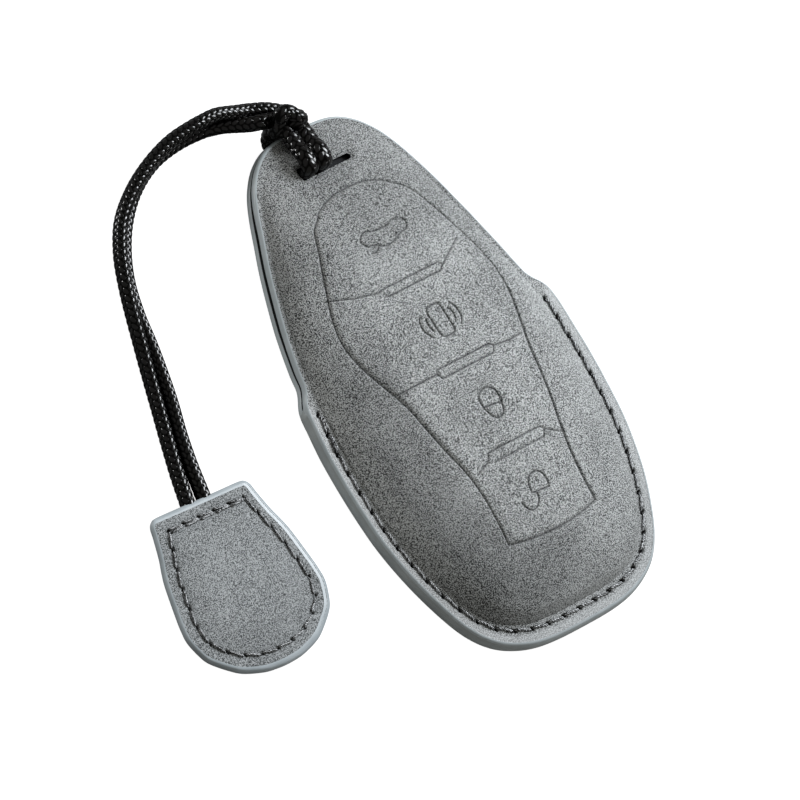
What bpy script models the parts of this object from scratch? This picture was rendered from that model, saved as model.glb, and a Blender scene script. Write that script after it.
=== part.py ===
"""A moulded leather car key pouch with a hitched cord and a leather tag.

Two moulded panels, each with its own lining, are sewn together along the wide end.
A waxed cord is hitched through a slot in both panels and ends inside a sewn tag.
Metres, +Z up. The pouch rests on its back panel, its cord end towards +Y.
"""

import math
from collections import namedtuple

import bmesh
import bpy
from mathutils import Matrix, Vector

MM = 0.001

# Key form: the shape the panels are moulded over, seen from the front
FORM_LENGTH = 96.4 * MM
FORM_WIDTH = 57.0 * MM
FORM_BOTTOM = -46.85 * MM
# Half outline from the wide end's middle to the slot end's middle, as shares of half width and length
FORM_SHARES = [
    (0, 0),
    (0.211, 0.001),
    (0.386, 0.006),
    (0.526, 0.018),
    (0.642, 0.037),
    (0.737, 0.067),
    (0.814, 0.108),
    (0.881, 0.157),
    (0.937, 0.214),
    (0.975, 0.271),
    (0.993, 0.333),
    (1.0, 0.395),
    (0.996, 0.457),
    (0.979, 0.520),
    (0.947, 0.582),
    (0.898, 0.644),
    (0.839, 0.704),
    (0.768, 0.767),
    (0.695, 0.829),
    (0.618, 0.886),
    (0.544, 0.929),
    (0.470, 0.957),
    (0.386, 0.978),
    (0.281, 0.993),
    (0.158, 0.999),
    (0, 1),
]

# Leather, lining and thread
LEATHER = 1.25 * MM
LINING = 0.5 * MM
GLUE_GAP = 0.3 * MM
EDGE_CHAMFER = 0.4 * MM
LINING_STARTS_SHARE = 0.1
THREAD_RADIUS = 0.25 * MM
STITCH_PITCH = 3.9 * MM
STITCH_HUMP = 0.22 * MM
STITCH_LEAN = 0.18 * MM

# Margins around the key form: wide where the panels are sewn, narrow round the open mouth
SEAM_MARGIN = 3.8 * MM
LIP_MARGIN = 1.3 * MM
SEAM_INSET = 2.4 * MM
NOTCH_LOW_SHARE = 0.525
NOTCH_HIGH_SHARE = 0.587
MOUTH_SPREAD = 0.35 * MM

# Moulded depth of the two panels
BACK_DEPTH = 4.2 * MM
CROWN = 7.6 * MM
SLOT_END_CROWN = 5.2 * MM
CROWN_EASES_SHARE = (0.354, 0.872)
SPINE_SHARE = (0.22, 0.779)
SIDE_POWER = 3.5
END_POWER = 1.4
FRONT_RING_SHARES = (0.03, 0.09, 0.2, 0.36, 0.6, 1.0)
BACK_RING_SHARES = (0.12, 0.26, 0.42, 0.62, 0.95, 1.0)
BACK_SIDE_RAMP_SHARES = (0.02, 0.42)
BACK_END_RAMP_SHARES = (0.47, 0.95)

# Cord and its hitch through the slots
CORD_RADIUS = 1.2 * MM
CORD_GAP = 0.6 * MM
SEAT_GAP = 0.3 * MM
SLOT_BELOW_LIP = 6.05 * MM
SLOT_LENGTH = 12.4 * MM
SLOT_CLEARANCE = 0.4 * MM
SLIT_WIDTH = 1.1 * MM
PAIR_LEFT_OF_AXIS = 2.7 * MM
PAIR_SPACING = 3.5 * MM
KNOT_LEFT_OF_AXIS = 3.05 * MM
KNOT_LEAN = 1.9 * MM
KNOT_HEIGHT = 2.75 * MM
KNOT_SPACING = 3.0 * MM
ROUND_LIP_RADIUS = 1.6 * MM
CUT_OVERRUN = 12.0 * MM

# Free cord, lying beside the pouch: two strands, their points in millimetres from the slot end's lip
OUTER_STRAND_MM = [
    (-10.2, 8.15, 6.9),
    (-14.4, 8.6, 7.3),
    (-18.8, 8.6, 7.15),
    (-25.1, 8.05, 6.05),
    (-31.1, 6.2, 4.9),
    (-36.8, 3.35, 4.0),
    (-41.9, -0.55, 3.45),
    (-45.6, -5.55, 3.3),
    (-48.1, -10.95, 3.13),
    (-50.0, -16.35, 2.72),
    (-51.6, -21.85, 2.15),
    (-53.1, -27.35, 1.7),
    (-54.7, -32.95, 1.42),
    (-56.4, -38.45, 1.32),
    (-58.05, -44.05, 1.3),
    (-59.25, -48.55, 1.45),
]
INNER_STRAND_MM = [
    (-10.8, 5.45, 6.9),
    (-13.2, 6.35, 5.75),
    (-16.0, 7.25, 4.4),
    (-21.7, 7.5, 2.95),
    (-27.8, 6.45, 1.8),
    (-33.8, 3.65, 1.3),
    (-39.0, -0.45, 1.28),
    (-43.0, -5.35, 1.28),
    (-45.8, -10.65, 1.28),
    (-47.3, -16.25, 1.28),
    (-48.1, -21.85, 1.28),
    (-49.3, -27.45, 1.28),
    (-50.7, -32.95, 1.28),
    (-52.5, -38.45, 1.28),
    (-54.0, -44.05, 1.33),
    (-55.05, -48.75, 1.45),
]

# Leather tag on the cord's end
TAG_LENGTH = 32.6 * MM
TAG_WIDTH = 33.0 * MM
TAG_LEATHER = 1.3 * MM
TAG_SEAM_INSET = 3.0 * MM
TAG_CROWN = 0.5 * MM
TAG_STITCH_PITCH = 3.6 * MM
TAG_HINGE_REACH = CORD_RADIUS + SEAT_GAP
CORD_END_LENGTH = 11.0 * MM
CORD_END_FLATNESS = 0.5
TAG_RING_SHARES = (0.25, 0.6, 1.0)
TAG_MIDDLE_SHARE = 0.55
# Half outline from the mouth's middle to the round end, as shares of half width and length
TAG_SHARES = [
    (0, 0),
    (0.28, 0),
    (0.56, 0),
    (0.65, 0.01),
    (0.70, 0.04),
    (0.74, 0.10),
    (0.83, 0.23),
    (0.92, 0.38),
    (0.98, 0.54),
    (1.0, 0.69),
    (0.975, 0.76),
    (0.917, 0.813),
    (0.80, 0.868),
    (0.62, 0.93),
    (0.40, 0.98),
    (0.2, 0.998),
    (0, 1),
]

# Heights that follow from the sizes above
BACK_FLANGE_UNDER = BACK_DEPTH
FRONT_FLANGE_TOP = BACK_DEPTH + LEATHER + GLUE_GAP + LEATHER
FORM_TOP = FORM_BOTTOM + FORM_LENGTH
LIP_TOP = FORM_TOP + LIP_MARGIN
CORD_PITCH = 2 * CORD_RADIUS + CORD_GAP
TAG_MIDDLE = TAG_LEATHER + GLUE_GAP / 2

Station = namedtuple("Station", "foot out")


def length_at(share):
    return FORM_BOTTOM + share * FORM_LENGTH


def eased(value, start, end):
    t = min(max((value - start) / (end - start), 0), 1)
    return t * t * (3 - 2 * t)


def blended(low, high, share):
    return low + (high - low) * share


def curve_through(points, steps):
    """Points on a smooth curve through the given ones, steps to each stretch."""
    found = []
    for i in range(len(points) - 1):
        before = points[max(i - 1, 0)]
        after = points[min(i + 2, len(points) - 1)]
        pull_in = (points[i + 1] - before) / 2
        pull_out = (after - points[i]) / 2
        for k in range(steps):
            t = k / steps
            a = 2 * t**3 - 3 * t**2 + 1
            b = t**3 - 2 * t**2 + t
            c = -2 * t**3 + 3 * t**2
            d = t**3 - t**2
            found.append(a * points[i] + b * pull_in + c * points[i + 1] + d * pull_out)
    found.append(points[-1].copy())
    return found


def spaced(points, count):
    """The given number of points, evenly spaced along a line."""
    reach = [0]
    for a, b in zip(points, points[1:]):
        reach.append(reach[-1] + (b - a).length)
    found = []
    i = 0
    for k in range(count):
        at = reach[-1] * k / (count - 1)
        while i < len(points) - 2 and reach[i + 1] < at:
            i += 1
        t = (at - reach[i]) / (reach[i + 1] - reach[i])
        found.append(points[i].lerp(points[i + 1], t))
    return found


def length_of(points):
    return sum((b - a).length for a, b in zip(points, points[1:]))


def closed_loop(half):
    """A whole outline from its right half, which starts and ends on the axis."""
    left = [Vector((-p.x, p.y)) for p in reversed(half[1:-1])]
    return half + left


def stations_on(loop):
    """Each outline point with its outward direction."""
    found = []
    for i, foot in enumerate(loop):
        along = loop[(i + 1) % len(loop)] - loop[i - 1]
        found.append(Station(foot, Vector((along.y, -along.x)).normalized()))
    return found


def form_stations(steps):
    points = [Vector((x * FORM_WIDTH / 2, length_at(y))) for x, y in FORM_SHARES]
    return stations_on(closed_loop(curve_through(points, steps)))


def margin_at(y):
    share = eased(y, length_at(NOTCH_LOW_SHARE), length_at(NOTCH_HIGH_SHARE))
    return blended(SEAM_MARGIN, LIP_MARGIN, share)


def spine_point(foot):
    low, high = (length_at(s) for s in SPINE_SHARE)
    return Vector((0, min(max(foot.y, low), high)))


def end_weight(foot):
    """0 along the sides and the wide end, 1 at the slot end."""
    return eased(foot.y, length_at(SPINE_SHARE[1]), FORM_TOP)


def mouth_lift(y):
    return MOUTH_SPREAD * eased(y, length_at(NOTCH_LOW_SHARE), FORM_TOP)


def front_height(foot, y, share):
    """Height of the front panel's face, a share of the way in from the form's foot."""
    start, end = (length_at(s) for s in CROWN_EASES_SHARE)
    crown = blended(CROWN, SLOT_END_CROWN, eased(y, start, end))
    side = math.sqrt(1 - (1 - share) ** SIDE_POWER)
    slope = 1 - (1 - share) ** END_POWER
    return FRONT_FLANGE_TOP + mouth_lift(y) + crown * blended(side, slope, end_weight(foot))


def back_height(foot, y, share):
    """Height of the back panel's face: a shallow tray whose floor is the rest face."""
    weight = end_weight(foot)
    start = blended(BACK_SIDE_RAMP_SHARES[0], BACK_END_RAMP_SHARES[0], weight)
    end = blended(BACK_SIDE_RAMP_SHARES[1], BACK_END_RAMP_SHARES[1], weight)
    return (BACK_FLANGE_UNDER - mouth_lift(y)) * (1 - eased(share, start, end))


def panel_rings(stations, height, shares, with_margin):
    """Rings of points from the panel's edge to the spine of its moulded face."""
    rings = []
    if with_margin:
        edge = []
        for s in stations:
            p = s.foot + s.out * margin_at(s.foot.y)
            edge.append(Vector((p.x, p.y, height(s.foot, p.y, 0))))
        rings.append(edge)
        rings.append([Vector((s.foot.x, s.foot.y, height(s.foot, s.foot.y, 0))) for s in stations])
    for share in shares:
        ring = []
        for s in stations:
            p = s.foot.lerp(spine_point(s.foot), share)
            ring.append(Vector((p.x, p.y, height(s.foot, p.y, share))))
        rings.append(ring)
    return rings


def lofted(name, rings, upwards):
    """An open surface through closed rings, the last of which folds onto the axis."""
    bm = bmesh.new()
    loops = [[bm.verts.new(p) for p in ring] for ring in rings]
    count = len(rings[0])
    for outer, inner in zip(loops, loops[1:]):
        for i in range(count):
            j = (i + 1) % count
            corners = [outer[i], outer[j], inner[j], inner[i]]
            bm.faces.new(corners if upwards else list(reversed(corners)))
    bmesh.ops.remove_doubles(bm, verts=bm.verts, dist=MM / 1000)
    bm.normal_update()
    mesh = bpy.data.meshes.new(name)
    bm.to_mesh(mesh)
    bm.free()
    return mesh


def sunk(mesh, depth):
    """Moves an open surface inwards by a depth square to it, each point straight up or down."""
    moved = [v.co - Vector((0, 0, depth / v.normal.z)) for v in mesh.vertices]
    for v, co in zip(mesh.vertices, moved):
        v.co = co
    mesh.update()


def add_object(name, mesh, material, collection):
    mesh.shade_smooth()
    mesh.set_sharp_from_angle(angle=math.radians(40))
    obj = bpy.data.objects.new(name, mesh)
    obj.data.materials.append(material)
    collection.objects.link(obj)
    return obj


def leather_material(name, colour, roughness):
    material = bpy.data.materials.new(name)
    material.use_nodes = True
    shader = material.node_tree.nodes["Principled BSDF"]
    shader.inputs["Base Color"].default_value = (*colour, 1)
    shader.inputs["Roughness"].default_value = roughness
    shader.inputs["Metallic"].default_value = 0
    return material


def thickened(obj, thickness):
    solid = obj.modifiers.new("Thickness", "SOLIDIFY")
    solid.thickness = thickness
    solid.offset = -1


def chamfered(obj, width):
    bevel = obj.modifiers.new("Chamfered edge", "BEVEL")
    bevel.width = width
    bevel.segments = 1
    bevel.limit_method = "ANGLE"
    bevel.angle_limit = math.radians(60)


def cut(obj, cutter):
    boolean = obj.modifiers.new("Cut " + cutter.name, "BOOLEAN")
    boolean.operation = "DIFFERENCE"
    boolean.solver = "EXACT"
    boolean.object = cutter


def as_cutter(obj):
    obj.hide_render = True
    obj.display_type = "WIRE"


def mesh_from_curve(curve_object, name, material, collection):
    """Turns a curve into a welded mesh object in the same place."""
    graph = bpy.context.evaluated_depsgraph_get()
    mesh = bpy.data.meshes.new_from_object(curve_object.evaluated_get(graph))
    bm = bmesh.new()
    bm.from_mesh(mesh)
    bmesh.ops.remove_doubles(bm, verts=bm.verts, dist=MM / 100)
    bmesh.ops.recalc_face_normals(bm, faces=bm.faces)
    bm.to_mesh(mesh)
    bm.free()
    obj = bpy.data.objects.new(name, mesh)
    obj.matrix_world = curve_object.matrix_world
    if material:
        mesh.materials.clear()
        mesh.materials.append(material)
    collection.objects.link(obj)
    bpy.data.objects.remove(curve_object)
    return obj


def tube(name, points, radius, sides, material, collection, round_ends=False):
    """A cord or thread: a curve with a round section and filled ends."""
    curve = bpy.data.curves.new(name, "CURVE")
    curve.dimensions = "3D"
    curve.bevel_depth = radius
    curve.bevel_resolution = (sides - 4) // 2
    curve.use_fill_caps = True
    line = list(points)
    sizes = [1.0] * len(line)
    if round_ends:
        line, sizes = rounded_ends(line, radius)
    spline = curve.splines.new("POLY")
    spline.points.add(len(line) - 1)
    for point, place, size in zip(spline.points, line, sizes):
        point.co = (*place, 1)
        point.radius = size
    obj = bpy.data.objects.new(name, curve)
    curve.materials.append(material)
    collection.objects.link(obj)
    return obj


def rounded_ends(points, radius):
    """Adds a ball-shaped end beyond the first and the last point."""
    steps = (0.95, 0.72, 0.38)
    line = list(points)
    first = (line[0] - line[1]).normalized()
    last = (line[-1] - line[-2]).normalized()
    head = [line[0] + first * radius * s for s in steps]
    tail = [line[-1] + last * radius * s for s in steps]
    sizes = [math.sqrt(1 - s * s) for s in steps]
    whole = head + line + list(reversed(tail))
    return whole, sizes + [1.0] * len(line) + list(reversed(sizes))


def flat_outline(name, points, depth, collection):
    """A closed outline made a plate of twice the depth, centred on z = 0."""
    curve = bpy.data.curves.new(name, "CURVE")
    curve.dimensions = "2D"
    curve.fill_mode = "BOTH"
    curve.extrude = depth
    spline = curve.splines.new("POLY")
    spline.points.add(len(points) - 1)
    for point, place in zip(spline.points, points):
        point.co = (place.x, place.y, 0, 1)
    spline.use_cyclic_u = True
    obj = bpy.data.objects.new(name, curve)
    collection.objects.link(obj)
    return mesh_from_curve(obj, name, None, collection)


def slot_places():
    """Where the slot and the cord pair in it lie, seen from the front."""
    left = -PAIR_LEFT_OF_AXIS - PAIR_SPACING / 2
    right = left + PAIR_SPACING
    lip = LIP_TOP - SLOT_BELOW_LIP
    middle = lip - SLOT_CLEARANCE - CORD_RADIUS
    low = middle - CORD_RADIUS - SLOT_CLEARANCE
    return left, right, lip, middle, low


def slot_outline():
    """A slit that the cord pair holds open at its left end."""
    left, right, lip, _, low = slot_places()
    wide_left = left - CORD_RADIUS - SLOT_CLEARANCE
    wide_right = right + CORD_RADIUS + SLOT_CLEARANCE
    end = wide_left + SLOT_LENGTH
    nose = SLIT_WIDTH / 2
    return [
        Vector((wide_left, low)),
        Vector((end - nose, low)),
        Vector((end, low + nose)),
        Vector((end - nose, low + SLIT_WIDTH)),
        Vector((wide_right + 2 * nose, low + SLIT_WIDTH)),
        Vector((wide_right, lip)),
        Vector((wide_left, lip)),
    ]


def make_panel(name, height, shares, upwards, material, collection, slot):
    mesh = lofted(name, panel_rings(form_stations(2), height, shares, True), upwards)
    panel = add_object(name, mesh, material, collection)
    thickened(panel, LEATHER)
    chamfered(panel, EDGE_CHAMFER)
    cut(panel, slot)
    return panel


def make_lining(name, height, shares, upwards, material, collection, slot):
    inner = [s for s in shares if s > LINING_STARTS_SHARE]
    mesh = lofted(name, panel_rings(form_stations(2), height, inner, False), upwards)
    sunk(mesh, LEATHER + GLUE_GAP)
    lining = add_object(name, mesh, material, collection)
    thickened(lining, LINING)
    cut(lining, slot)
    return lining


def stitched(name, seam, pitch, lift, upwards, material, collection):
    """A run of thread that humps over each stitch and dips at each hole."""
    count = max(round(length_of(seam) / pitch), 2)
    holes = spaced(seam, count + 1)
    sign = 1 if upwards else -1
    low = sign * (GLUE_GAP + THREAD_RADIUS)
    high = low + sign * STITCH_HUMP
    points = []
    for a, b in zip(holes, holes[1:]):
        side = Vector((b.y - a.y, a.x - b.x)).normalized() * STITCH_LEAN
        for t, z, lean in ((0, low, 0), (0.25, high, -1), (0.75, high, 1)):
            p = a.lerp(b, t) + side * lean
            points.append(Vector((p.x, p.y, lift(p) + z)))
    points.append(Vector((holes[-1].x, holes[-1].y, lift(holes[-1]) + low)))
    return tube(name, points, THREAD_RADIUS, 4, material, collection)


def seam_line():
    """The pouch's stitch line, from the left notch round the wide end to the right one."""
    out = SEAM_MARGIN - SEAM_INSET
    top = length_at(NOTCH_LOW_SHARE)
    right = [s.foot + s.out * out for s in form_stations(4) if s.foot.x >= 0 and s.foot.y <= top]
    right = [p for p in right if p.x >= 0]
    left = [Vector((-p.x, p.y)) for p in reversed(right[1:])]
    return left + right


def strand_points(places):
    """A free strand's points, which move with the lip that it is hitched round."""
    return [Vector(p) * MM + Vector((0, LIP_TOP, 0)) for p in places]


def strand_start(places):
    """Where a strand pivots on the knot, and which way it leaves."""
    start, after = strand_points(places)[:2]
    return start, (after - start).normalized()


def hitch_route():
    """The cord's way from the inner strand, through the slots, over the pair and back."""
    left, right, lip, middle, _ = slot_places()
    bend = ROUND_LIP_RADIUS
    skew = bend * math.sqrt(0.5)
    over = SEAT_GAP + CORD_RADIUS
    share = (FORM_TOP - lip) / (FORM_TOP - length_at(SPINE_SHARE[1]))
    front_lip = front_height(Vector((0, FORM_TOP)), lip, share)
    back_lip = BACK_FLANGE_UNDER - mouth_lift(lip)
    rim = FRONT_FLANGE_TOP + MOUTH_SPREAD
    under = BACK_FLANGE_UNDER - MOUTH_SPREAD - over
    past = LIP_TOP + over
    knot_left = -KNOT_LEFT_OF_AXIS - KNOT_SPACING / 2
    knot_right = knot_left + KNOT_SPACING
    leg_left = Vector((knot_left - CORD_PITCH, past - SEAT_GAP))
    leg_right = Vector((knot_right + CORD_PITCH, past))

    def over_rim(x, degrees):
        angle = math.radians(degrees)
        return Vector((x, LIP_TOP + over * math.sin(angle), rim + over * math.cos(angle)))

    pair_z = over_rim(0, 55).z

    def standing(x, knot_x):
        """From past the edge, over the front's lip and down into the slots."""
        return [
            over_rim(knot_x, 55),
            over_rim(knot_x, 28),
            Vector((blended(x, knot_x, 0.8), LIP_TOP - CORD_RADIUS / 2, rim + over)),
            Vector((blended(x, knot_x, 0.4), blended(lip, LIP_TOP, 0.45), blended(front_lip + bend, rim + over, 0.6))),
            Vector((x, lip + CORD_GAP, front_lip + bend)),
            Vector((x, lip - skew, front_lip + skew)),
            Vector((x, middle, front_lip - CORD_GAP)),
            Vector((x, middle, blended(front_lip, back_lip, 0.5))),
            Vector((x, middle, back_lip + CORD_GAP)),
            Vector((x, lip - skew, back_lip - skew)),
            Vector((x, lip + CORD_GAP, back_lip - bend)),
        ]

    def leg(x, top):
        """Along the back to the mouth's edge, then up past it and out to one side."""
        return [
            Vector((x, blended(lip, past, 0.5), under)),
            Vector((x, past - CORD_RADIUS, under)),
            Vector((blended(x, top.x, 0.1), past, under + CORD_RADIUS)),
            Vector((blended(x, top.x, 0.4), past, blended(under, rim, 0.6))),
            Vector((blended(x, top.x, 0.85), top.y, blended(under, rim, 0.9))),
            Vector((top.x, top.y + SEAT_GAP / 2, pair_z)),
        ]

    def round_leg(radius, degrees, end):
        """Away from under the bight, turning left round the left leg."""
        angle = math.radians(degrees)
        across = leg_left.x + math.cos(angle) * radius
        along = leg_left.y + math.sin(angle) * radius
        return Vector((across, along, blended(pair_z, end.z, degrees / 90)))

    inner_start, inner_way = strand_start(INNER_STRAND_MM)
    outer_start, outer_way = strand_start(OUTER_STRAND_MM)
    inner_end = inner_start - inner_way * over
    outer_end = outer_start - outer_way * over
    entry = [inner_end, inner_end - inner_way * CORD_RADIUS]
    entry += [round_leg(KNOT_SPACING + CORD_GAP / 2, a, inner_end) for a in (62, 42, 22)]
    entry += standing(left, knot_left)
    entry += leg(left, leg_left)
    over_pair = []
    for across, up in ((0.03, 0.45), (0.14, 0.85), (0.32, 1), (0.5, 1.02), (0.68, 1), (0.86, 0.85), (0.97, 0.45)):
        foot = leg_left.lerp(leg_right, across)
        over_pair.append(Vector((foot.x, foot.y + KNOT_LEAN * up, pair_z + KNOT_HEIGHT * up)))
    leave = list(reversed(standing(right, knot_right) + leg(right, leg_right)))
    leave += [round_leg(2 * KNOT_SPACING + CORD_GAP / 2, a, outer_end) for a in (22, 36, 50, 64)]
    leave += [outer_end - outer_way * CORD_RADIUS, outer_end]
    return entry + over_pair + leave


def least_gap(points, radius):
    """The least room that a cord's tube leaves to itself, away from its own bends."""
    least = None
    for i, a in enumerate(points):
        along = 0
        for j in range(i + 1, len(points)):
            along += (points[j] - points[j - 1]).length
            if along < 4 * math.pi * radius:
                continue
            room = (points[j] - a).length - 2 * radius
            least = room if least is None else min(least, room)
    return least


def make_hitch(material, collection):
    route = curve_through(hitch_route(), 6)
    line = spaced(route, round(length_of(route) / (1.1 * CORD_RADIUS)))
    fine = spaced(route, 4 * len(line))
    print("hitch cord length mm", round(length_of(line) / MM, 1))
    print("hitch least gap to itself mm", round(least_gap(fine, CORD_RADIUS) / MM, 2))
    return tube("cord_hitch", line, CORD_RADIUS, 8, material, collection)


def make_strand(name, places, pivot, material, collection):
    """A free strand; its origin lies on the axis that it lifts about."""
    route = curve_through(strand_points(places), 8)
    line = spaced(route, round(length_of(route) / (2 * CORD_RADIUS)))
    print(name, "length mm", round(length_of(route) / MM, 1))
    strand = tube(name, [p - pivot for p in line], CORD_RADIUS, 8, material, collection, round_ends=True)
    strand.location = pivot
    return strand


def tag_stations(inset=0.0):
    points = [Vector((x * TAG_WIDTH / 2, -TAG_HINGE_REACH - y * TAG_LENGTH)) for x, y in TAG_SHARES]
    half = list(reversed(curve_through(points, 1)))
    loop = stations_on(closed_loop(half))
    return [Station(s.foot - s.out * inset, s.out) for s in loop]


def tag_rings(crown, z):
    """Rings from the tag's edge to a point in its middle, gently crowned."""
    middle = Vector((0, -TAG_HINGE_REACH - TAG_MIDDLE_SHARE * TAG_LENGTH))
    rings = [[Vector((s.foot.x, s.foot.y, z)) for s in tag_stations()]]
    for share in TAG_RING_SHARES:
        ring = []
        for s in tag_stations(TAG_SEAM_INSET / 2):
            p = s.foot.lerp(middle, share)
            ring.append(Vector((p.x, p.y, z + crown * eased(share, 0, 1))))
        rings.append(ring)
    return rings


def make_tag_leaf(name, crown, z, upwards, material, collection, place, channels):
    leaf = add_object(name, lofted(name, tag_rings(crown, z), upwards), material, collection)
    thickened(leaf, TAG_LEATHER)
    chamfered(leaf, EDGE_CHAMFER)
    leaf.matrix_world = place
    for channel in channels:
        cut(leaf, channel)
    return leaf


def make_cord_end(name, x, extra, material, collection, place):
    """A flattened cord end that lies glued between the tag's leathers."""
    start = Vector((x, -TAG_HINGE_REACH + extra, 0))
    end = Vector((x, -TAG_HINGE_REACH - CORD_END_LENGTH - extra, 0))
    width = CORD_RADIUS + extra
    height = CORD_RADIUS * CORD_END_FLATNESS + extra
    rod = tube(name + "_rod", [start, end], width, 8, material, collection)
    obj = mesh_from_curve(rod, name, material, collection)
    obj.data.transform(Matrix.Diagonal((1, 1, height / width, 1)))
    obj.matrix_world = place
    return obj


def tag_seam():
    """The tag's stitch line, once round from the mouth's right-hand corner."""
    loop = [s.foot for s in tag_stations(TAG_SEAM_INSET)]
    return loop + [loop[0]]


def build():
    for obj in list(bpy.data.objects):
        bpy.data.objects.remove(obj)
    parts = bpy.data.collections.new("car_key_pouch")
    cutters = bpy.data.collections.new("cutters")
    for collection in (parts, cutters):
        bpy.context.scene.collection.children.link(collection)

    nubuck = leather_material("Grey nubuck-look leather", (0.235, 0.24, 0.24), 0.75)
    suede = leather_material("Dark microfibre lining", (0.05, 0.05, 0.055), 0.95)
    cord = leather_material("Black waxed cord", (0.012, 0.012, 0.014), 0.35)
    thread = leather_material("Charcoal sewing thread", (0.04, 0.04, 0.045), 0.5)

    slot = flat_outline("slot_cutter", slot_outline(), CUT_OVERRUN, cutters)
    slot.location.z = CUT_OVERRUN / 2
    as_cutter(slot)

    front = (front_height, FRONT_RING_SHARES, True)
    back = (back_height, BACK_RING_SHARES, False)
    make_panel("front_panel", *front, nubuck, parts, slot)
    make_lining("front_lining", *front, suede, parts, slot)
    make_panel("back_panel", *back, nubuck, parts, slot)
    make_lining("back_lining", *back, suede, parts, slot)

    seam = seam_line()
    stitched("seam_thread_front", seam, STITCH_PITCH, lambda p: FRONT_FLANGE_TOP, True, thread, parts)
    stitched("seam_thread_back", seam, STITCH_PITCH, lambda p: BACK_FLANGE_UNDER, False, thread, parts)
    make_hitch(cord, parts)

    pivot = strand_start(INNER_STRAND_MM)[0]
    make_strand("cord_strand_outer", OUTER_STRAND_MM, pivot, cord, parts)
    make_strand("cord_strand_inner", INNER_STRAND_MM, pivot, cord, parts)

    outer_end, inner_end = (strand_points(places)[-1] for places in (OUTER_STRAND_MM, INNER_STRAND_MM))
    turn = Matrix.Rotation(math.atan2(inner_end.y - outer_end.y, inner_end.x - outer_end.x), 4, "Z")
    place = Matrix.Translation((outer_end + inner_end) / 2) @ turn
    half_spacing = (inner_end - outer_end).length / 2
    channels = []
    for name, x in (("cord_end_outer", -half_spacing), ("cord_end_inner", half_spacing)):
        make_cord_end(name, x, 0, cord, parts, place)
        channel = make_cord_end(name + "_channel", x, SEAT_GAP, cord, cutters, place)
        as_cutter(channel)
        channels.append(channel)
    face = TAG_LEATHER + GLUE_GAP / 2
    make_tag_leaf("tag_front", TAG_CROWN, face, True, nubuck, parts, place, channels)
    make_tag_leaf("tag_back", 0, -face, False, nubuck, parts, place, channels)
    tag_thread = stitched("tag_thread", tag_seam(), TAG_STITCH_PITCH, lambda p: face, True, thread, parts)
    tag_thread.matrix_world = place


build()
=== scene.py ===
"""A grey leather key pouch with a hitched black cord and a sewn leather tag, lying flat."""

import math

import bmesh
import bpy
import numpy as np
from mathutils import Matrix, Vector
from mathutils.kdtree import KDTree


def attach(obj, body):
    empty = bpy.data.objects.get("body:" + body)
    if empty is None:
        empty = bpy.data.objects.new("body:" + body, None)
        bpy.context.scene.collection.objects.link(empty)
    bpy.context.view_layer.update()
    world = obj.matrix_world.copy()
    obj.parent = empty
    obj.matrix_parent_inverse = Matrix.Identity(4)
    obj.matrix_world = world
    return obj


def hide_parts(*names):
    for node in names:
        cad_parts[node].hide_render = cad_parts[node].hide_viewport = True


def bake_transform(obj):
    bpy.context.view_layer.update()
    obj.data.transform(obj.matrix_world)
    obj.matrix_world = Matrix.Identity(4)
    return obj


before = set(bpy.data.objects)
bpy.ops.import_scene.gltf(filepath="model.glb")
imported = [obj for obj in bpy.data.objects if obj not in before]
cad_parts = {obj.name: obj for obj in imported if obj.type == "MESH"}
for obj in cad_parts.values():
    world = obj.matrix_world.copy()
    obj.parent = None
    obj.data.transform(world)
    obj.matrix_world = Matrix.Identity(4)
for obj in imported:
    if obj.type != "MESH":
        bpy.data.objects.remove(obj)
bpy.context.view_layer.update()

# Camera
# A long lens far off, to the pouch's left and above it, with the cord end up in the picture.
MM = 0.001
IMAGE_RIGHT = Vector((0.69233793, -0.50503082, 0.51537565))
IMAGE_DOWN = Vector((-0.35767280, -0.86051147, -0.36275360))
INTO_IMAGE = Vector((0.62668840, 0.06681223, -0.77640052))
CAMERA_PLACE_MM = Vector((-1261.532, -133.833, 1556.333))


def new_object(name, data, *materials):
    """A new object in the scene, with its materials if it has any."""
    obj = bpy.data.objects.new(name, data)
    bpy.context.scene.collection.objects.link(obj)
    for material in materials:
        data.materials.append(material)
    return obj


camera = new_object("camera", bpy.data.cameras.new("camera"))
camera.data.lens = 508.2717
camera.data.sensor_width = 36
camera.data.clip_start = 0.05
camera.data.clip_end = 20
camera.matrix_world = Matrix.Translation(CAMERA_PLACE_MM * MM) @ Matrix(
    (IMAGE_RIGHT, -IMAGE_DOWN, -INTO_IMAGE)
).transposed().to_4x4()
bpy.context.scene.camera = camera
bpy.context.scene.view_settings.view_transform = "Standard"


# Light, floor and backdrop
# One large soft lamp from the picture's upper right, a low one that catches the open edge and a small
# one for the cord's glints, in a pale room. The floor is white paper, and keeps the shadow.
def rgb(code):
    """An sRGB hex colour as linear light."""
    parts = [int(code[i : i + 2], 16) / 255 for i in (1, 3, 5)]
    return [c / 12.92 if c <= 0.04045 else ((c + 0.055) / 1.055) ** 2.4 for c in parts] + [1]


def feed(tree, node, inputs):
    """Sets or links the inputs of a node."""
    for key, value in inputs.items():
        if isinstance(value, bpy.types.NodeSocket):
            tree.links.new(value, node.inputs[key])
        else:
            node.inputs[key].default_value = value


def add_node(tree, kind, inputs=None, output=None, **settings):
    """Adds a shader node with its settings and inputs, and gives its first output or the one named."""
    node = tree.nodes.new("ShaderNode" + kind)
    for name, value in settings.items():
        setattr(node, name, value)
    feed(tree, node, inputs or {})
    if output:
        return node.outputs[output]
    return next((socket for socket in node.outputs if socket.enabled), None)


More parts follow.
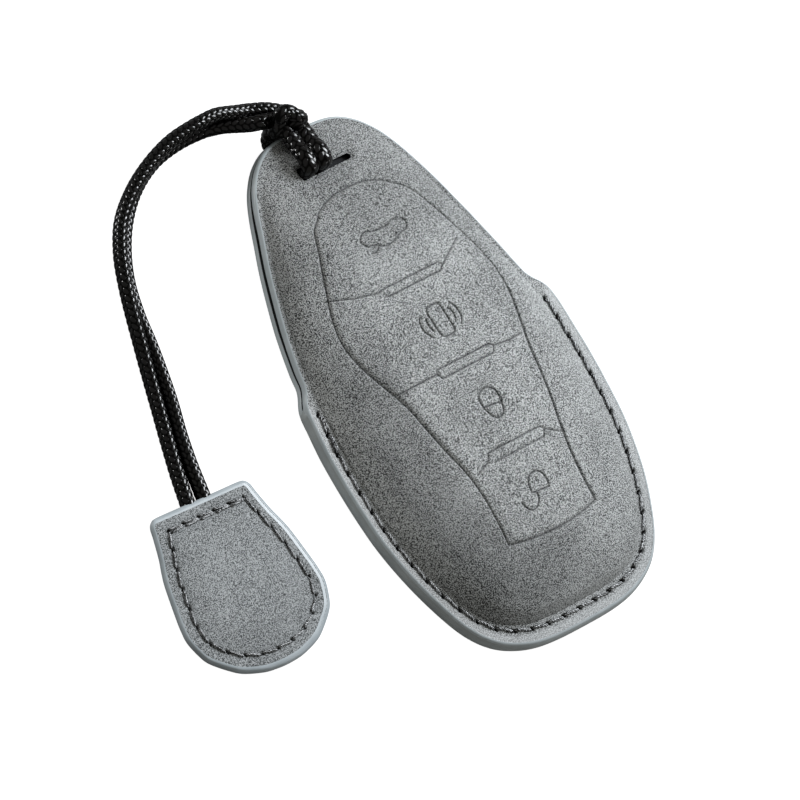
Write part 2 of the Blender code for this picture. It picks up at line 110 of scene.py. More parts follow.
def soft_lamp(name, way, distance, size, strength, colour=(1, 1, 1)):
    """A round lamp aimed at the pouch; at strength 1, what faces it shows its colour as written."""
    lamp = new_object(name, bpy.data.lights.new(name, "AREA"))
    lamp.data.shape = "DISK"
    lamp.data.size = size
    lamp.data.energy = strength * math.pi**2 * distance**2
    lamp.data.color = colour
    way = Vector(way).normalized()
    lamp.location = way * distance
    lamp.rotation_euler = way.to_track_quat("Z", "Y").to_euler()


soft_lamp("key_lamp", (0.69, 0.13, 0.64), 0.6, 0.29, 1.06, (0.965, 1.0, 1.04))
soft_lamp("rim_lamp", (-0.45, 0.88, 0.15), 1.1, 0.22, 0.36)
soft_lamp("glint_lamp", (0.627, -0.708, 0.35), 0.9, 0.09, 0.05)

world = bpy.data.worlds.new("pale_room")
bpy.context.scene.world = world
world.use_nodes = True
sky = world.node_tree
sky.nodes.clear()
direct = add_node(sky, "LightPath", output="Is Camera Ray")
passed = add_node(sky, "LightPath", output="Is Transmission Ray")
seen = add_node(sky, "Math", {0: direct, 1: passed}, operation="MAXIMUM")
level = add_node(sky, "Mix", {"Factor": seen, "A": 0.22, "B": 1.0}, data_type="FLOAT")
air = add_node(sky, "Mix", {"Factor": seen, "A": rgb("#fffdf6"), "B": rgb("#ffffff")}, data_type="RGBA")
room = add_node(sky, "Background", {"Color": air, "Strength": level})
add_node(sky, "OutputWorld", {"Surface": room})


def new_mesh(name, places, faces):
    """A mesh through places given in millimetres."""
    mesh = bpy.data.meshes.new(name)
    mesh.from_pydata(np.array(places) * MM, [], faces)
    return mesh


FLOOR_REACH = 3000
corners = [(x * FLOOR_REACH, y * FLOOR_REACH, 0) for x, y in ((-1, -1), (1, -1), (1, 1), (-1, 1))]
paper = bpy.data.materials.new("white_paper_floor")
paper.use_nodes = True
tree = paper.node_tree
tree.nodes.clear()
direct = add_node(tree, "LightPath", output="Is Camera Ray")
grain = add_node(tree, "TexNoise", {"Scale": 900.0, "Detail": 2.0})
tint = add_node(tree, "MapRange", {"Value": grain, "To Min": 0.3, "To Max": 0.34})
matt = add_node(tree, "BsdfDiffuse", {"Color": tint})
glow_level = add_node(tree, "Math", {0: direct, 1: 0.98}, operation="MULTIPLY")
glow = add_node(tree, "Emission", {"Color": rgb("#ffffff"), "Strength": glow_level})
both = add_node(tree, "AddShader", {0: matt, 1: glow})
add_node(tree, "OutputMaterial", {"Surface": both})
new_object("floor", new_mesh("floor", corners, [(0, 1, 2, 3)]), paper)


# Front panel
# One sheet of grey nubuck-look leather, moulded into a dome with a flat flange. Lines are pressed
# into it where the buttons lie; its cut edge is painted, and its slot takes the cord.
FORM_LENGTH = 96.4
FORM_BOTTOM = -46.85
FORM_HALF_WIDTH = 28.5
FORM_TOP = FORM_BOTTOM + FORM_LENGTH
FORM_SHARES = [
    (0, 0), (0.211, 0.001), (0.386, 0.006), (0.526, 0.018), (0.642, 0.037), (0.737, 0.067), (0.814, 0.108),
    (0.881, 0.157), (0.937, 0.214), (0.975, 0.271), (0.993, 0.333), (1.0, 0.395), (0.996, 0.457),
    (0.979, 0.520), (0.947, 0.582), (0.898, 0.644), (0.839, 0.704), (0.768, 0.767), (0.695, 0.829),
    (0.618, 0.886), (0.544, 0.929), (0.470, 0.957), (0.386, 0.978), (0.281, 0.993), (0.158, 0.999), (0, 1),
]
LEATHER = 1.25
SEAM_MARGIN = 3.8
LIP_MARGIN = 1.3
SEAM_INSET = 2.4
NOTCH_LOW, NOTCH_HIGH = 0.525, 0.587
FRONT_FACE = 7.0
SEAM_HOLES = 37
# Height of the dome over the flange, at its middle and by the slot, and how steeply its sides rise
CROWN, SLOT_END_CROWN = 7.6, 5.2
CROWN_EASES = (0.354, 0.872)
SPINE_LOW, SPINE_HIGH = 0.22, 0.779
SIDE_POWER, SIDE_FLATNESS, FOOT_RISE = 3, 0.62, 0.62
END_POWER = 1.4
MOUTH_SPREAD = 0.22
EDGE_BEAD = 0.55
# The slot is wide at the cord and a slit beyond it
SLOT = [
    (-6.1, 41.7), (5.7, 41.7), (6.25, 42.3), (5.7, 42.9), (1.6, 42.9), (0.95, 43.9), (-5.7, 44.3),
    (-6.1, 43.7),
]

# Right half of the button field's pressed outline, and the lines and signs inside it, with the depth
# and half width of each kind of pressed line
FIELD_HALF = [
    (0, 37.15), (3.5, 36.95), (7.5, 35.75), (9.6, 34.25), (11.9, 32.25), (14.3, 27.25), (16.5, 22.25),
    (18.5, 17.25), (19.5, 12.25), (18.9, 7.25), (17.3, 2.25), (15.6, -2.75), (14.6, -7.75),
    (13.5, -12.75), (12.1, -17.75), (11.2, -22.75), (10.9, -27.75), (11.0, -32.75),
]
FIELD_FOOT = [(11.0, -32.75), (6.0, -33.7), (0, -34.05), (-6.0, -33.7), (-11.0, -32.75)]
DIVIDERS = [
    [(-18.1, 20.55), (-12.5, 18.5), (-7.4, 17.45), (-6.8, 17.75), (7.4, 17.75), (8.2, 17.0), (14.5, 20.05)],
    [(-6.9, 16.9), (-6.3, 16.15), (7.0, 16.15), (7.9, 16.9)],
    [(-16.4, -0.15), (-6.7, -0.15), (-6.1, 0.55), (7.2, 0.55), (7.9, -0.1), (12, -0.55), (15.3, -0.35)],
    [(-6.5, -0.3), (-6.0, -1.25), (7.0, -1.25), (7.8, -0.3)],
    [(-10.3, -19.25), (-6.9, -18.05), (-5.9, -16.65), (7.3, -16.65), (7.9, -17.35), (11.2, -19.25)],
    [(-5.6, -18.65), (7.0, -18.65), (7.8, -17.6)],
]
SIGNS = [
    [(-3.88, 28.06), (-3.37, 28.38), (-2.42, 28.25), (-1.66, 27.9), (0.39, 27.68), (1.6, 27.73),
     (2.67, 27.92), (3.57, 28.26), (4.92, 27.78), (5.79, 27.72), (6.12, 27.27), (6.14, 26.63),
     (5.73, 25.93), (5.06, 25.56), (3.95, 25.49), (2.04, 24.86), (0.11, 24.38), (-1.04, 24.58),
     (-2.7, 25.48), (-4.34, 25.7), (-4.79, 26.31), (-5.11, 27.09), (-4.58, 27.81), (-3.88, 28.06)],
    [(-2.15, 25.0), (-2.59, 24.53), (-3.41, 24.22), (-4.32, 24.39)],
    [(2.0, 11.33), (2.44, 10.75), (2.48, 9.61), (2.48, 8.0), (2.46, 6.02), (2.12, 5.32), (1.14, 5.08),
     (-0.43, 5.28), (-0.93, 5.95), (-1.03, 7.14), (-1.0, 8.7), (-1.03, 10.24), (-0.64, 11.03),
     (0.12, 11.3), (2.0, 11.33)],
    [(4.6, 10.41), (5.23, 9.3), (5.41, 8.19), (5.25, 7.13), (4.84, 6.44), (4.42, 6.06)],
    [(3.62, 9.59), (4.05, 8.95), (4.07, 8.09), (3.91, 7.4), (3.46, 6.74)],
    [(-2.97, 10.3), (-3.55, 9.62), (-3.83, 8.68), (-3.82, 7.83), (-3.46, 6.94), (-2.84, 6.0)],
    [(-2.0, 9.51), (-2.24, 8.68), (-2.21, 7.83), (-1.89, 6.93)],
    [(-1.06, -6.84), (0.38, -6.13), (1.82, -6.37), (2.81, -7.45), (2.71, -9.01), (2.23, -10.85),
     (1.52, -11.71), (0.34, -11.94), (-0.71, -11.42), (-1.28, -10.25), (-1.63, -8.8), (-1.56, -7.5),
     (-1.06, -6.84)],
    [(-1.4, -9.25), (2.5, -9.6)],
    [(-1.28, -24.93), (-0.72, -24.0), (-0.01, -23.45), (1.5, -23.37), (2.58, -24.11), (2.96, -25.56),
     (2.7, -26.89)],
    [(2.7, -26.89), (-1.06, -26.59), (-1.37, -26.03), (-1.28, -24.93)],
    [(-0.46, -26.7), (-0.55, -27.5), (-1.0, -28.4), (-2.08, -29.2), (-3.33, -29.18), (-4.14, -28.33),
     (-4.48, -27.32)],
]
FIELD_PRESS, DIVIDER_PRESS, SIGN_PRESS, DOT_PRESS = (0.36, 0.23), (0.3, 0.2), (0.34, 0.19), (0.3, 0.3)
FIELD_RISE = 0.16
DOTS = [(1.07, 10.01), (1.07, 6.9), (0.62, -8.09), (0.72, -24.91)]


def through(points, steps):
    """A smooth line through the given points, steps to each stretch."""
    p = np.array(points, float)
    before = np.vstack([p[:1], p[:-1]])
    after = np.vstack([p[1:], p[-1:]])
    pull = (after - before) / 2
    t = (np.arange(steps) / steps)[:, None]
    start, leave = 2 * t**3 - 3 * t**2 + 1, t**3 - 2 * t**2 + t
    end, arrive = 3 * t**2 - 2 * t**3, t**3 - t**2
    rows = [start * p[i] + leave * pull[i] + end * p[i + 1] + arrive * pull[i + 1] for i in range(len(p) - 1)]
    return np.vstack(rows + [p[-1:]])


def spaced(points, count):
    """The given number of points, evenly spaced along a line."""
    points = np.array(points, float)
    reach = np.concatenate([[0], np.cumsum(np.linalg.norm(np.diff(points, axis=0), axis=1))])
    at = np.linspace(0, reach[-1], count)
    return np.column_stack([np.interp(at, reach, points[:, k]) for k in range(points.shape[1])])


def length_of(points):
    """The length of a line through the points."""
    return float(np.linalg.norm(np.diff(points, axis=0), axis=1).sum())


def even(points, pitch):
    """Points along a line at about the given pitch."""
    return spaced(points, max(2, round(length_of(points) / pitch) + 1))


def eased(value, start, end):
    """0 before the start and 1 past the end, with a smooth rise between."""
    t = np.clip((value - start) / (end - start), 0, 1)
    return t * t * (3 - 2 * t)


def both_sides(half, count):
    """A closed outline of even points, and their outward directions, from its right half."""
    half = spaced(half, count)
    loop = np.vstack([half, half[-2:0:-1] * (-1, 1)])
    along = np.roll(loop, -1, axis=0) - np.roll(loop, 1, axis=0)
    out = np.column_stack([along[:, 1], -along[:, 0]])
    return loop, out / np.linalg.norm(out, axis=1)[:, None]


def outward(line):
    """The direction square to a line, on its right, at each of its points."""
    along = np.gradient(line, axis=0)
    ways = np.column_stack([along[:, 1], -along[:, 0]])
    return ways / np.linalg.norm(ways, axis=1)[:, None]


def mirrored(side):
    """Both sides from the right one, which starts on the pouch's middle line."""
    return np.vstack([side[::-1] * (-1, 1), side[1:]])


def length_at(share):
    """How far up the pouch a share of the form's length lies."""
    return FORM_BOTTOM + share * FORM_LENGTH


def spine_of(feet):
    """The points of the form's middle line that the points of its foot climb to."""
    return np.column_stack([0 * feet[:, 1], np.clip(feet[:, 1], length_at(SPINE_LOW), length_at(SPINE_HIGH))])


def margin_at(x, y):
    """The flange's width: broad where the panels are sewn, narrow round the open end."""
    sewn = SEAM_MARGIN + 0.4 * eased(-y, 32, 46) + 0.25 * eased(x, 5, 20) * (1 - 2 * eased(-y, 30, 42))
    lip = LIP_MARGIN + 0.28 * (1 - eased(y, 28, 38))
    return sewn + (lip - sewn) * eased(y, length_at(NOTCH_LOW), length_at(NOTCH_HIGH))


def mouth_lift(y):
    """How far each panel stands off along the open edges; they meet again at the cord."""
    return MOUTH_SPREAD * eased(y, length_at(NOTCH_LOW), 27) * (1 - eased(y, 36, 47))


def front_height(foot_y, y, share):
    """The front face's height, a share of the way in from the foot: steep sides, a sloping narrow end."""
    crown = CROWN + (SLOT_END_CROWN - CROWN) * eased(y, length_at(CROWN_EASES[0]), length_at(CROWN_EASES[1]))
    end = eased(foot_y, length_at(SPINE_HIGH), FORM_TOP)
    side = (1 - (1 - share) ** SIDE_POWER) ** SIDE_FLATNESS
    side = side * (FOOT_RISE + (1 - FOOT_RISE) * eased(share, 0, 0.06))
    slope = 1 - (1 - share) ** END_POWER
    return FRONT_FACE + mouth_lift(y) + crown * (side * (1 - end) + slope * end)


def mesh_from_rings(name, rings, paint, upwards):
    """A closed skin through rings; faces between the two paint rings take the second material."""
    count = len(rings[0])
    i = np.arange(count)
    j = np.roll(i, -1)
    faces, slots = [], []
    for k in range(len(rings) - 1):
        a, b = k * count, (k + 1) * count
        quads = np.column_stack([a + i, b + i, b + j, a + j] if upwards else [a + j, b + j, b + i, a + i])
        faces.append(quads)
        slots.append(np.full(count, 0 if k < paint[0] else 1 if k < paint[1] else 2))
    mesh = new_mesh(name, np.vstack(rings), np.vstack(faces).tolist())
    mesh.polygons.foreach_set("material_index", np.concatenate(slots).astype(np.int32))
    bm = bmesh.new()
    bm.from_mesh(mesh)
    bmesh.ops.remove_doubles(bm, verts=bm.verts, dist=0.003 * MM)
    bm.normal_update()
    return mesh, bm


def finder(points):
    """A search for the nearest of some points, seen from above."""
    tree = KDTree(len(points))
    for i, p in enumerate(points):
        tree.insert((p[0] * MM, p[1] * MM, 0), i)
    tree.balance()
    return tree


def refine(bm, marks, reaches, facing):
    """Splits the edges near the marks, once for each reach, on the side that faces up or down."""
    for reach in reaches:
        near = []
        for e in bm.edges:
            a, b = e.verts
            if a.normal.z * facing > 0.1 and b.normal.z * facing > 0.1 and e.calc_length() > 0.16 * MM:
                mid = (a.co + b.co) / 2
                if marks.find((mid.x, mid.y, 0))[2] < reach * MM:
                    near.append(e)
        bmesh.ops.subdivide_edges(bm, edges=near, cuts=1, use_grid_fill=True)
        bm.normal_update()


def inside(points, outline):
    """Which points lie inside a closed outline."""
    x, y = points[:, 0], points[:, 1]
    found = np.zeros(len(points), bool)
    for (ax, ay), (bx, by) in zip(outline, np.roll(outline, -1, axis=0)):
        crosses = (ay > y) != (by > y)
        if crosses.any():
            found ^= crosses & (x < (bx - ax) * (y - ay) / (by - ay + 1e-12) + ax)
    return found


def lean(y):
    """How far the sewn half, and the narrow end, lean to the right of the form's middle line."""
    return np.interp(y, (-14, -3, 2, 7, 12, 20, 27, 36), (0.5, 0.55, 0.75, 0.65, 0.2, 0.05, 0.15, 0.42))


def add_piece(name, mesh, materials, body, *replaced):
    """A finished piece that rides on its body; those of the pouch take its slight lean."""
    if body == "pouch":
        for v in mesh.vertices:
            v.co.x += lean(v.co.y / MM) * MM
    obj = new_object(name, mesh, *materials)
    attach(obj, body)
    if replaced:
        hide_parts(*replaced)
    return obj


def smooth(mesh, angle=50):
    """Shades a mesh smooth, apart from edges sharper than the angle."""
    mesh.shade_smooth()
    mesh.set_sharp_from_angle(angle=math.radians(angle))


def finish_mesh(bm, mesh, place=Matrix()):
    """Writes the edited faces back, puts them in their place and smooths them."""
    bm.to_mesh(mesh)
    bm.free()
    mesh.transform(place)
    smooth(mesh)


def gap_to(marks, v):
    """How far a vertex lies from the nearest mark, in mm."""
    return marks.find((v.co.x, v.co.y, 0))[2] / MM


def dent(gap, width, power=2):
    """1 on a mark, falling softly to 0 over about its width."""
    return math.exp(-((gap / width) ** power))


def new_material(name):
    """A material, its node tree, its shader, and the place on the object that its patterns read."""
    material = bpy.data.materials.new(name)
    material.use_nodes = True
    tree = material.node_tree
    return material, tree, tree.nodes["Principled BSDF"], add_node(tree, "TexCoord", output="Object")


def leather_material(name, dark, light, worm_size, contrast, bump):
    """Nubuck-look leather: a worm-like fine grain under patches about 13 mm across, with painted shade where
    marked.
    """
    material, tree, shader, place = new_material(name)
    cloud = add_node(tree, "TexNoise", {"Vector": place, "Scale": 75.0, "Detail": 4.0, "Roughness": 0.6})
    worms = add_node(tree, "TexNoise", {"Vector": place, "Scale": 1 / (worm_size * MM), "Detail": 0.5,
                                        "Roughness": 0.6, "Distortion": 0.4})
    specks = add_node(tree, "TexNoise", {"Vector": place, "Scale": 1.7 / (worm_size * MM), "Detail": 0.5})
    grain = add_node(tree, "Mix", {"Factor": 0.4, "A": worms, "B": specks}, data_type="FLOAT")
    patch = add_node(tree, "MapRange", {"Value": cloud, "From Min": 0.3, "From Max": 0.7,
                                        "To Min": -0.025, "To Max": 0.025})
    tone = add_node(tree, "Math", {0: grain, 1: patch}, operation="ADD")
    level = add_node(tree, "MapRange", {"Value": tone, "From Min": 0.5 - contrast,
                                        "From Max": 0.5 + contrast})
    colour = add_node(tree, "Mix", {"Factor": level, "A": rgb(dark), "B": rgb(light)}, data_type="RGBA")
    # Painted shade, from the mesh: in pressed lines, stitch holes, grooves and creases, and on the dome's
    # flanks and ends
    painted_shade = add_node(tree, "Attribute", output="Fac", attribute_name="painted_shade")
    # The flange is made paler along the sewn edge
    pale = add_node(tree, "Attribute", output="Fac", attribute_name="pale")
    made_paler = add_node(tree, "Mix", {"Factor": pale, "A": colour, "B": rgb("#eef1f3")}, data_type="RGBA")
    with_painted_shade = add_node(tree, "Mix", {"Factor": painted_shade, "A": made_paler, "B": rgb("#08090a")}, data_type="RGBA")
    relief = add_node(tree, "Bump", {"Height": grain, "Strength": bump, "Distance": 0.12 * MM})
    rough = add_node(tree, "MapRange", {"Value": grain, "To Min": 0.62, "To Max": 0.92})
    feed(tree, shader, {"Base Color": with_painted_shade, "Normal": relief, "Roughness": rough,
                        "Specular IOR Level": 0.3, "Sheen Weight": 0.08})
    return material


def coat_material(name, dark, light, patches, contrast, tufts, relief, roughness, shine):
    """A thin even coat: two tones in soft patches, with a fine relief; both scales are per metre."""
    material, tree, shader, place = new_material(name)
    thick = add_node(tree, "TexNoise", {"Vector": place, "Scale": patches[0], "Detail": patches[1]})
    fine = add_node(tree, "TexNoise", {"Vector": place, "Scale": tufts, "Detail": 2.0})
    level = add_node(tree, "MapRange", {"Value": thick, "From Min": 0.5 - contrast,
                                        "From Max": 0.5 + contrast})
    colour = add_node(tree, "Mix", {"Factor": level, "A": rgb(dark), "B": rgb(light)}, data_type="RGBA")
    bump = add_node(tree, "Bump", {"Height": fine, "Strength": relief[0], "Distance": relief[1] * MM})
    feed(tree, shader, {"Base Color": colour, "Normal": bump, "Roughness": roughness,
                        "Specular IOR Level": shine})
    return material


def paint_material(name, code, patchy):
    """Semi-gloss edge paint over the cut leather, thicker in 4 mm patches, with brush marks of 0.4 mm."""
    return coat_material(name, code, patchy, (260.0, 3.0), 0.2, 2500.0, (0.1, 0.03), 0.33, 0.4)


# Dark microfibre with a matt nap; its tufts are drawn 0.3 mm wide, as fine as shows
lining = coat_material("dark_microfibre_lining", "#0d0e10", "#26282b", (3500.0, 2.0), 0.15, 3500.0,
                       (0.4, 0.08), 0.95, 0.5)
grey_leather = leather_material("grey_nubuck_look_leather", "#1f2120", "#d4d7d7", 0.2, 0.068, 1.1)
# The slot's walls are near-black: painted shade in the narrow slit
slot_wall = paint_material("dark_slot_wall", "#141618", "#1d2022")

mouth_paint = paint_material("pale_grey_edge_paint", "#a9b2b5", "#bac2c5")

form_half = through([(x * FORM_HALF_WIDTH, length_at(y)) for x, y in FORM_SHARES], 12)
feet, out = both_sides(form_half, 232)
# Where the panels are sewn, their edges stand back by the depth of the paint
PAINT_DEPTH = 0.32
PAINT_ENDS = (0.524, 0.556)
painted = 1 - eased(feet[:, 1], length_at(PAINT_ENDS[0]), length_at(PAINT_ENDS[1]))
margin = margin_at(feet[:, 0], feet[:, 1]) - PAINT_DEPTH * painted
face_shares = np.concatenate([[0.004, 0.012, 0.025, 0.045, 0.07], np.arange(0.1, 1.0, 0.025), [0.99, 1]])

# The stitch line lies outside the dome's foot, from one notch round the wide end to the other
seam_half = spaced(form_half, 600)
seam_reach = SEAM_MARGIN - SEAM_INSET - 0.3 * eased(-seam_half[:, 1], 32, 46)
seam_side = seam_half + outward(seam_half) * seam_reach[:, None]
seam_line = mirrored(seam_side[seam_half[:, 1] <= length_at(NOTCH_LOW)])
seam_line[:, 0] -= 0.3 * eased(seam_line[:, 0], 8, 24)
seam_holes = spaced(seam_line, SEAM_HOLES)


def slanted(holes):
    """Awl holes are slanted ovals: three points across the seam for each."""
    way = np.gradient(holes, axis=0)
    way /= np.linalg.norm(way, axis=1)[:, None]
    across = np.column_stack([-way[:, 1], way[:, 0]]) * 0.5 - way * 0.85
    return np.vstack([holes + across * k for k in (-0.24, 0, 0.24)])


hole_marks = slanted(seam_holes)

field_half = through(FIELD_HALF, 8)
field_loop = np.vstack([field_half, through(FIELD_FOOT, 8)[1:], (field_half * (-1, 1))[::-1][1:]])
pressed = [(even(field_loop, 0.12), FIELD_PRESS)]
pressed += [(even(line, 0.12), DIVIDER_PRESS) for line in DIVIDERS]
pressed += [(even(through(line, 4), 0.12), SIGN_PRESS) for line in SIGNS]
pressed += [(np.array([dot]), DOT_PRESS) for dot in DOTS]
pressed_points = np.vstack([points for points, _ in pressed])
# The lean comes later, so the lines are set back by it here, and lean a little more at the wide end
pressed_points[:, 0] -= lean(pressed_points[:, 1]) + 0.7 * eased(-pressed_points[:, 1], 16, 33)
pressed_depth, pressed_width = np.vstack([np.tile(press, (len(points), 1)) for points, press in pressed]).T
slot_rim = even(np.vstack([SLOT, SLOT[:1]]), 0.15)
slot_rim[:, 0] -= lean(slot_rim[:, 1])
# A shallow crease runs inside the open edge
CREASE_INSET = 1.75
crease = (feet + out * (margin - CREASE_INSET)[:, None])[feet[:, 1] > length_at(NOTCH_HIGH)]
sewn_edge = (feet + out * margin[:, None])[feet[:, 1] < length_at(NOTCH_LOW)]
MARK_REACHES = (1.1, 0.6, 0.35)
# How deep and how wide a stitch hole, the thread's groove, the slot's rim and the crease are
MARK_DIPS = (0.55, 0.3), (0.12, 0.4), (0.4, 0.45), (0.1, 0.25)


def dress_front(bm):
    """Presses the button lines, stitch holes, slot rim and edge crease into the face, and paints shade onto
    it.
    """
    lines, foot = finder(pressed_points), finder(feet)
    trees = [finder(points) for points in (hole_marks, even(seam_line, 0.2), slot_rim, crease, sewn_edge)]
    refine(bm, finder(np.vstack([pressed_points, seam_holes, slot_rim])), MARK_REACHES, 1)
    painted_shade = bm.verts.layers.float.new("painted_shade")
    pale = bm.verts.layers.float.new("pale")
    places = np.array([v.co[:2] for v in bm.verts]) / MM
    raised, on_dome = inside(places, field_loop), inside(places, feet)
    moves = []
    for v, within, domed in zip(bm.verts, raised, on_dome):
        if v.normal.z < 0.1:
            continue
        x, y = v.co.x / MM, v.co.y / MM
        hole, seam, rim, fold, edge = (gap_to(tree, v) for tree in trees)
        _, index, gap = lines.find((v.co.x, v.co.y, 0))
        gap /= MM
        lift = -pressed_depth[index] * dent(gap, pressed_width[index])
        if within:
            lift += FIELD_RISE * (min(1, gap / 0.8) if index < len(pressed[0][0]) else 1)
        lift -= sum(depth * dent(far, wide) for far, (depth, wide) in zip((hole, seam, rim, fold), MARK_DIPS))
        # Painted shade down the dome's flanks, far more on the left, and towards both ends
        gap_in = gap_to(foot, v) if domed else 0
        flank = 0.28 - 0.24 * eased(x, -8, 12) + 0.07 * eased(-y, 2, 20)
        flank *= eased(gap_in, 1.5, 4) * (1 - eased(gap_in, 11, 16)) * (1 - 0.55 * eased(y, 2, 20))
        ends = 0.26 * eased(y, 14, 32) + 0.12 * eased(-y, 24, 34)
        # Painted shade in the pressed lines, stitch holes, thread groove and crease, and on the flanks and
        # ends
        v[painted_shade] = max(0.75 * dent(gap, 0.7 * pressed_width[index]), dent(hole, 0.4, 4), 0.1 * dent(seam, 0.3),
                     0.35 * dent(fold, 0.25), flank, ends)
        # Paler along the sewn edge
        v[pale] = 0.34 * (1 - eased(edge, 1.6, 2.3))
        moves.append((v, v.normal * lift * MM))
    for v, move in moves:
        v.co += move


def cut_slot(obj, outline, low, high, wall):
    """Cuts the cord's slot through a sheet; its walls take the given material."""
    count = len(outline)
    verts = [(x, y, z) for z in (low, high) for x, y in outline]
    faces = [tuple(range(count))[::-1], tuple(range(count, 2 * count))]
    faces += [(i, (i + 1) % count, count + (i + 1) % count, count + i) for i in range(count)]
    knife = new_object("slot_knife", new_mesh("slot_knife", verts, faces), wall)
    cut = obj.modifiers.new("Slot", "BOOLEAN")
    cut.operation = "DIFFERENCE"
    cut.solver = "EXACT"
    cut.material_mode = "TRANSFER"
    cut.object = knife
    graph = bpy.context.evaluated_depsgraph_get()
    result = bpy.data.meshes.new_from_object(obj.evaluated_get(graph))
    obj.modifiers.remove(cut)
    obj.data = result
    bpy.data.objects.remove(knife)


def shell_rings(height, face_shares, upwards):
    """Rings of a sheet from the middle of its face, over its rounded edge, to the middle of its inside."""
    sign = 1 if upwards else -1
    spine = spine_of(feet)

    def on_face(share, depth):
        p = feet * (1 - share) + spine * share
        return np.column_stack([p, height(feet[:, 1], p[:, 1], share) - sign * depth])

    def on_flange(reach, depth):
        p = feet + out * (reach * (margin - EDGE_BEAD))[:, None]
        return np.column_stack([p, height(feet[:, 1], p[:, 1], 0.0) - sign * depth])

    rings = [on_face(s, 0) for s in face_shares[::-1]]
    rings += [on_flange(r, 0) for r in np.concatenate([np.arange(0, 1, 1 / 9), [0.94, 0.985]])]
    paint_from = len(rings)
    edge = feet + out * margin[:, None]
    level = height(feet[:, 1], edge[:, 1], 0.0)
    for degrees in range(90, -91, -15):
        a = math.radians(degrees)
        p = feet + out * (margin - EDGE_BEAD * (1 - math.cos(a) ** 0.8))[:, None]
        z = level - sign * (LEATHER / 2 - (LEATHER / 2 + 0.05) * math.sin(a))
        rings.append(np.column_stack([p, z]))
    paint_to = len(rings) - 3
    rings += [on_flange(r, LEATHER) for r in (0.9, 0.4, 0)]
    rings += [on_face(s, LEATHER) for s in (0.02, 0.08, 0.2, 0.4, 0.6, 0.8, 1)]
    return rings, (paint_from, paint_to)


def make_panel(name, height, shares, upwards, dress, slot, low, high):
    """A moulded panel with its marks and its painted edge, and the slot cut through it."""
    rings, paint = shell_rings(height, shares, upwards)
    mesh, bm = mesh_from_rings(name + "_skin", rings, paint, upwards)
    dress(bm)
    finish_mesh(bm, mesh)
    panel = add_piece(name + "_skin", mesh, [grey_leather, mouth_paint, lining], "pouch", name)
    cut_slot(panel, slot, low, high, slot_wall)


make_panel("front_panel", front_height, face_shares, True, dress_front, SLOT, 5, 25)


# Back panel
# The same leather, moulded into a shallow tray that the pouch rests on, and sewn to the front
# round the wide end. The cord's slot goes through it too.
BACK_FACE = 4.2
# From the flange in, where the back's side and its narrow end reach the flat that it rests on
BACK_SIDE_RAMP, BACK_END_RAMP = (0.02, 0.42), (0.47, 0.95)
# Behind the front panel only the slot's wide part shows
WIDE_SLOT = [(-6.1, 41.7), (1.2, 41.7), (0.95, 43.9), (-5.7, 44.3), (-6.1, 43.7)]


def back_height(foot_y, y, share):
    """The back face's height: it falls from the flange to the flat that the pouch rests on."""
    end = eased(foot_y, length_at(SPINE_HIGH), FORM_TOP)
    low, high = (a + (b - a) * end for a, b in zip(BACK_SIDE_RAMP, BACK_END_RAMP))
    return (BACK_FACE - mouth_lift(y)) * (1 - eased(share, low, high))


def dress_back(bm):
    """Pricks the stitch holes and rounds the slot's rim, on the underside."""
    holes, rim = finder(hole_marks), finder(slot_rim)
    refine(bm, finder(np.vstack([seam_holes, slot_rim])), MARK_REACHES, -1)
    painted_shade = bm.verts.layers.float.new("painted_shade")
    for v in [v for v in bm.verts if v.normal.z < -0.1]:
        gap = gap_to(holes, v)
        # Painted shade in the stitch holes
        v[painted_shade] = dent(gap, 0.3, 4)
        v.co.z += (0.5 * dent(gap, 0.3) + 0.4 * dent(gap_to(rim, v), 0.45)) * MM


make_panel("back_panel", back_height, face_shares[::2], False, dress_back, WIDE_SLOT, -5, 8)


# Linings
# Thin dark microfibre, glued inside each panel; it shows in the mouth and through the slot.
GLUE = 0.3
LINING = 0.5
LINING_SHARES = (1, 0.8, 0.6, 0.45, 0.3, 0.16)


def make_lining(name, height, upwards, replaced):
    """One lining, from the middle of its glued side to the middle of its bare side."""
    sign = -1 if upwards else 1
    spine = spine_of(feet[::2])
    rings = []
    for depth, shares in ((LEATHER + GLUE, LINING_SHARES), (LEATHER + GLUE + LINING, LINING_SHARES[::-1])):
        for share in shares:
            p = feet[::2] * (1 - share) + spine * share
            z = height(feet[::2, 1], p[:, 1], share) + sign * depth
            rings.append(np.column_stack([p, z]))
    mesh, bm = mesh_from_rings(name, rings, (99, 99), upwards)
    finish_mesh(bm, mesh)
    piece = add_piece(name, mesh, [lining], "pouch", replaced)
    cut_slot(piece, WIDE_SLOT, -5, 25, lining)


make_lining("front_lining_skin", front_height, True, "front_lining")
make_lining("back_lining_skin", back_height, False, "back_lining")


# Seam edge paint
# Where the panels are sewn, their edges are sanded and painted as one rounded band.
# Its paint is the open edges' paint in a darker tone: painted shade
edge_paint = paint_material("blue_grey_edge_paint", "#969c9d", "#a5abab")
SEAM_LEVEL = (FRONT_FACE + BACK_FACE) / 2


def at_level(points, z):
    """Points seen from above, all at one height."""
    return np.column_stack([points, np.full(len(points), z)])


def closed_form(mesh):
    """The mesh's faces, all turned outwards, ready to be finished."""
    bm = bmesh.new()
    bm.from_mesh(mesh)
    bmesh.ops.recalc_face_normals(bm, faces=bm.faces)
    return bm


band_half = spaced(form_half, 400)
sewn = band_half[:, 1] <= length_at(PAINT_ENDS[1])
band_feet, band_ways = mirrored(band_half[sewn]), mirrored(outward(band_half)[sewn])
band_margin = margin_at(band_feet[:, 0], band_feet[:, 1])
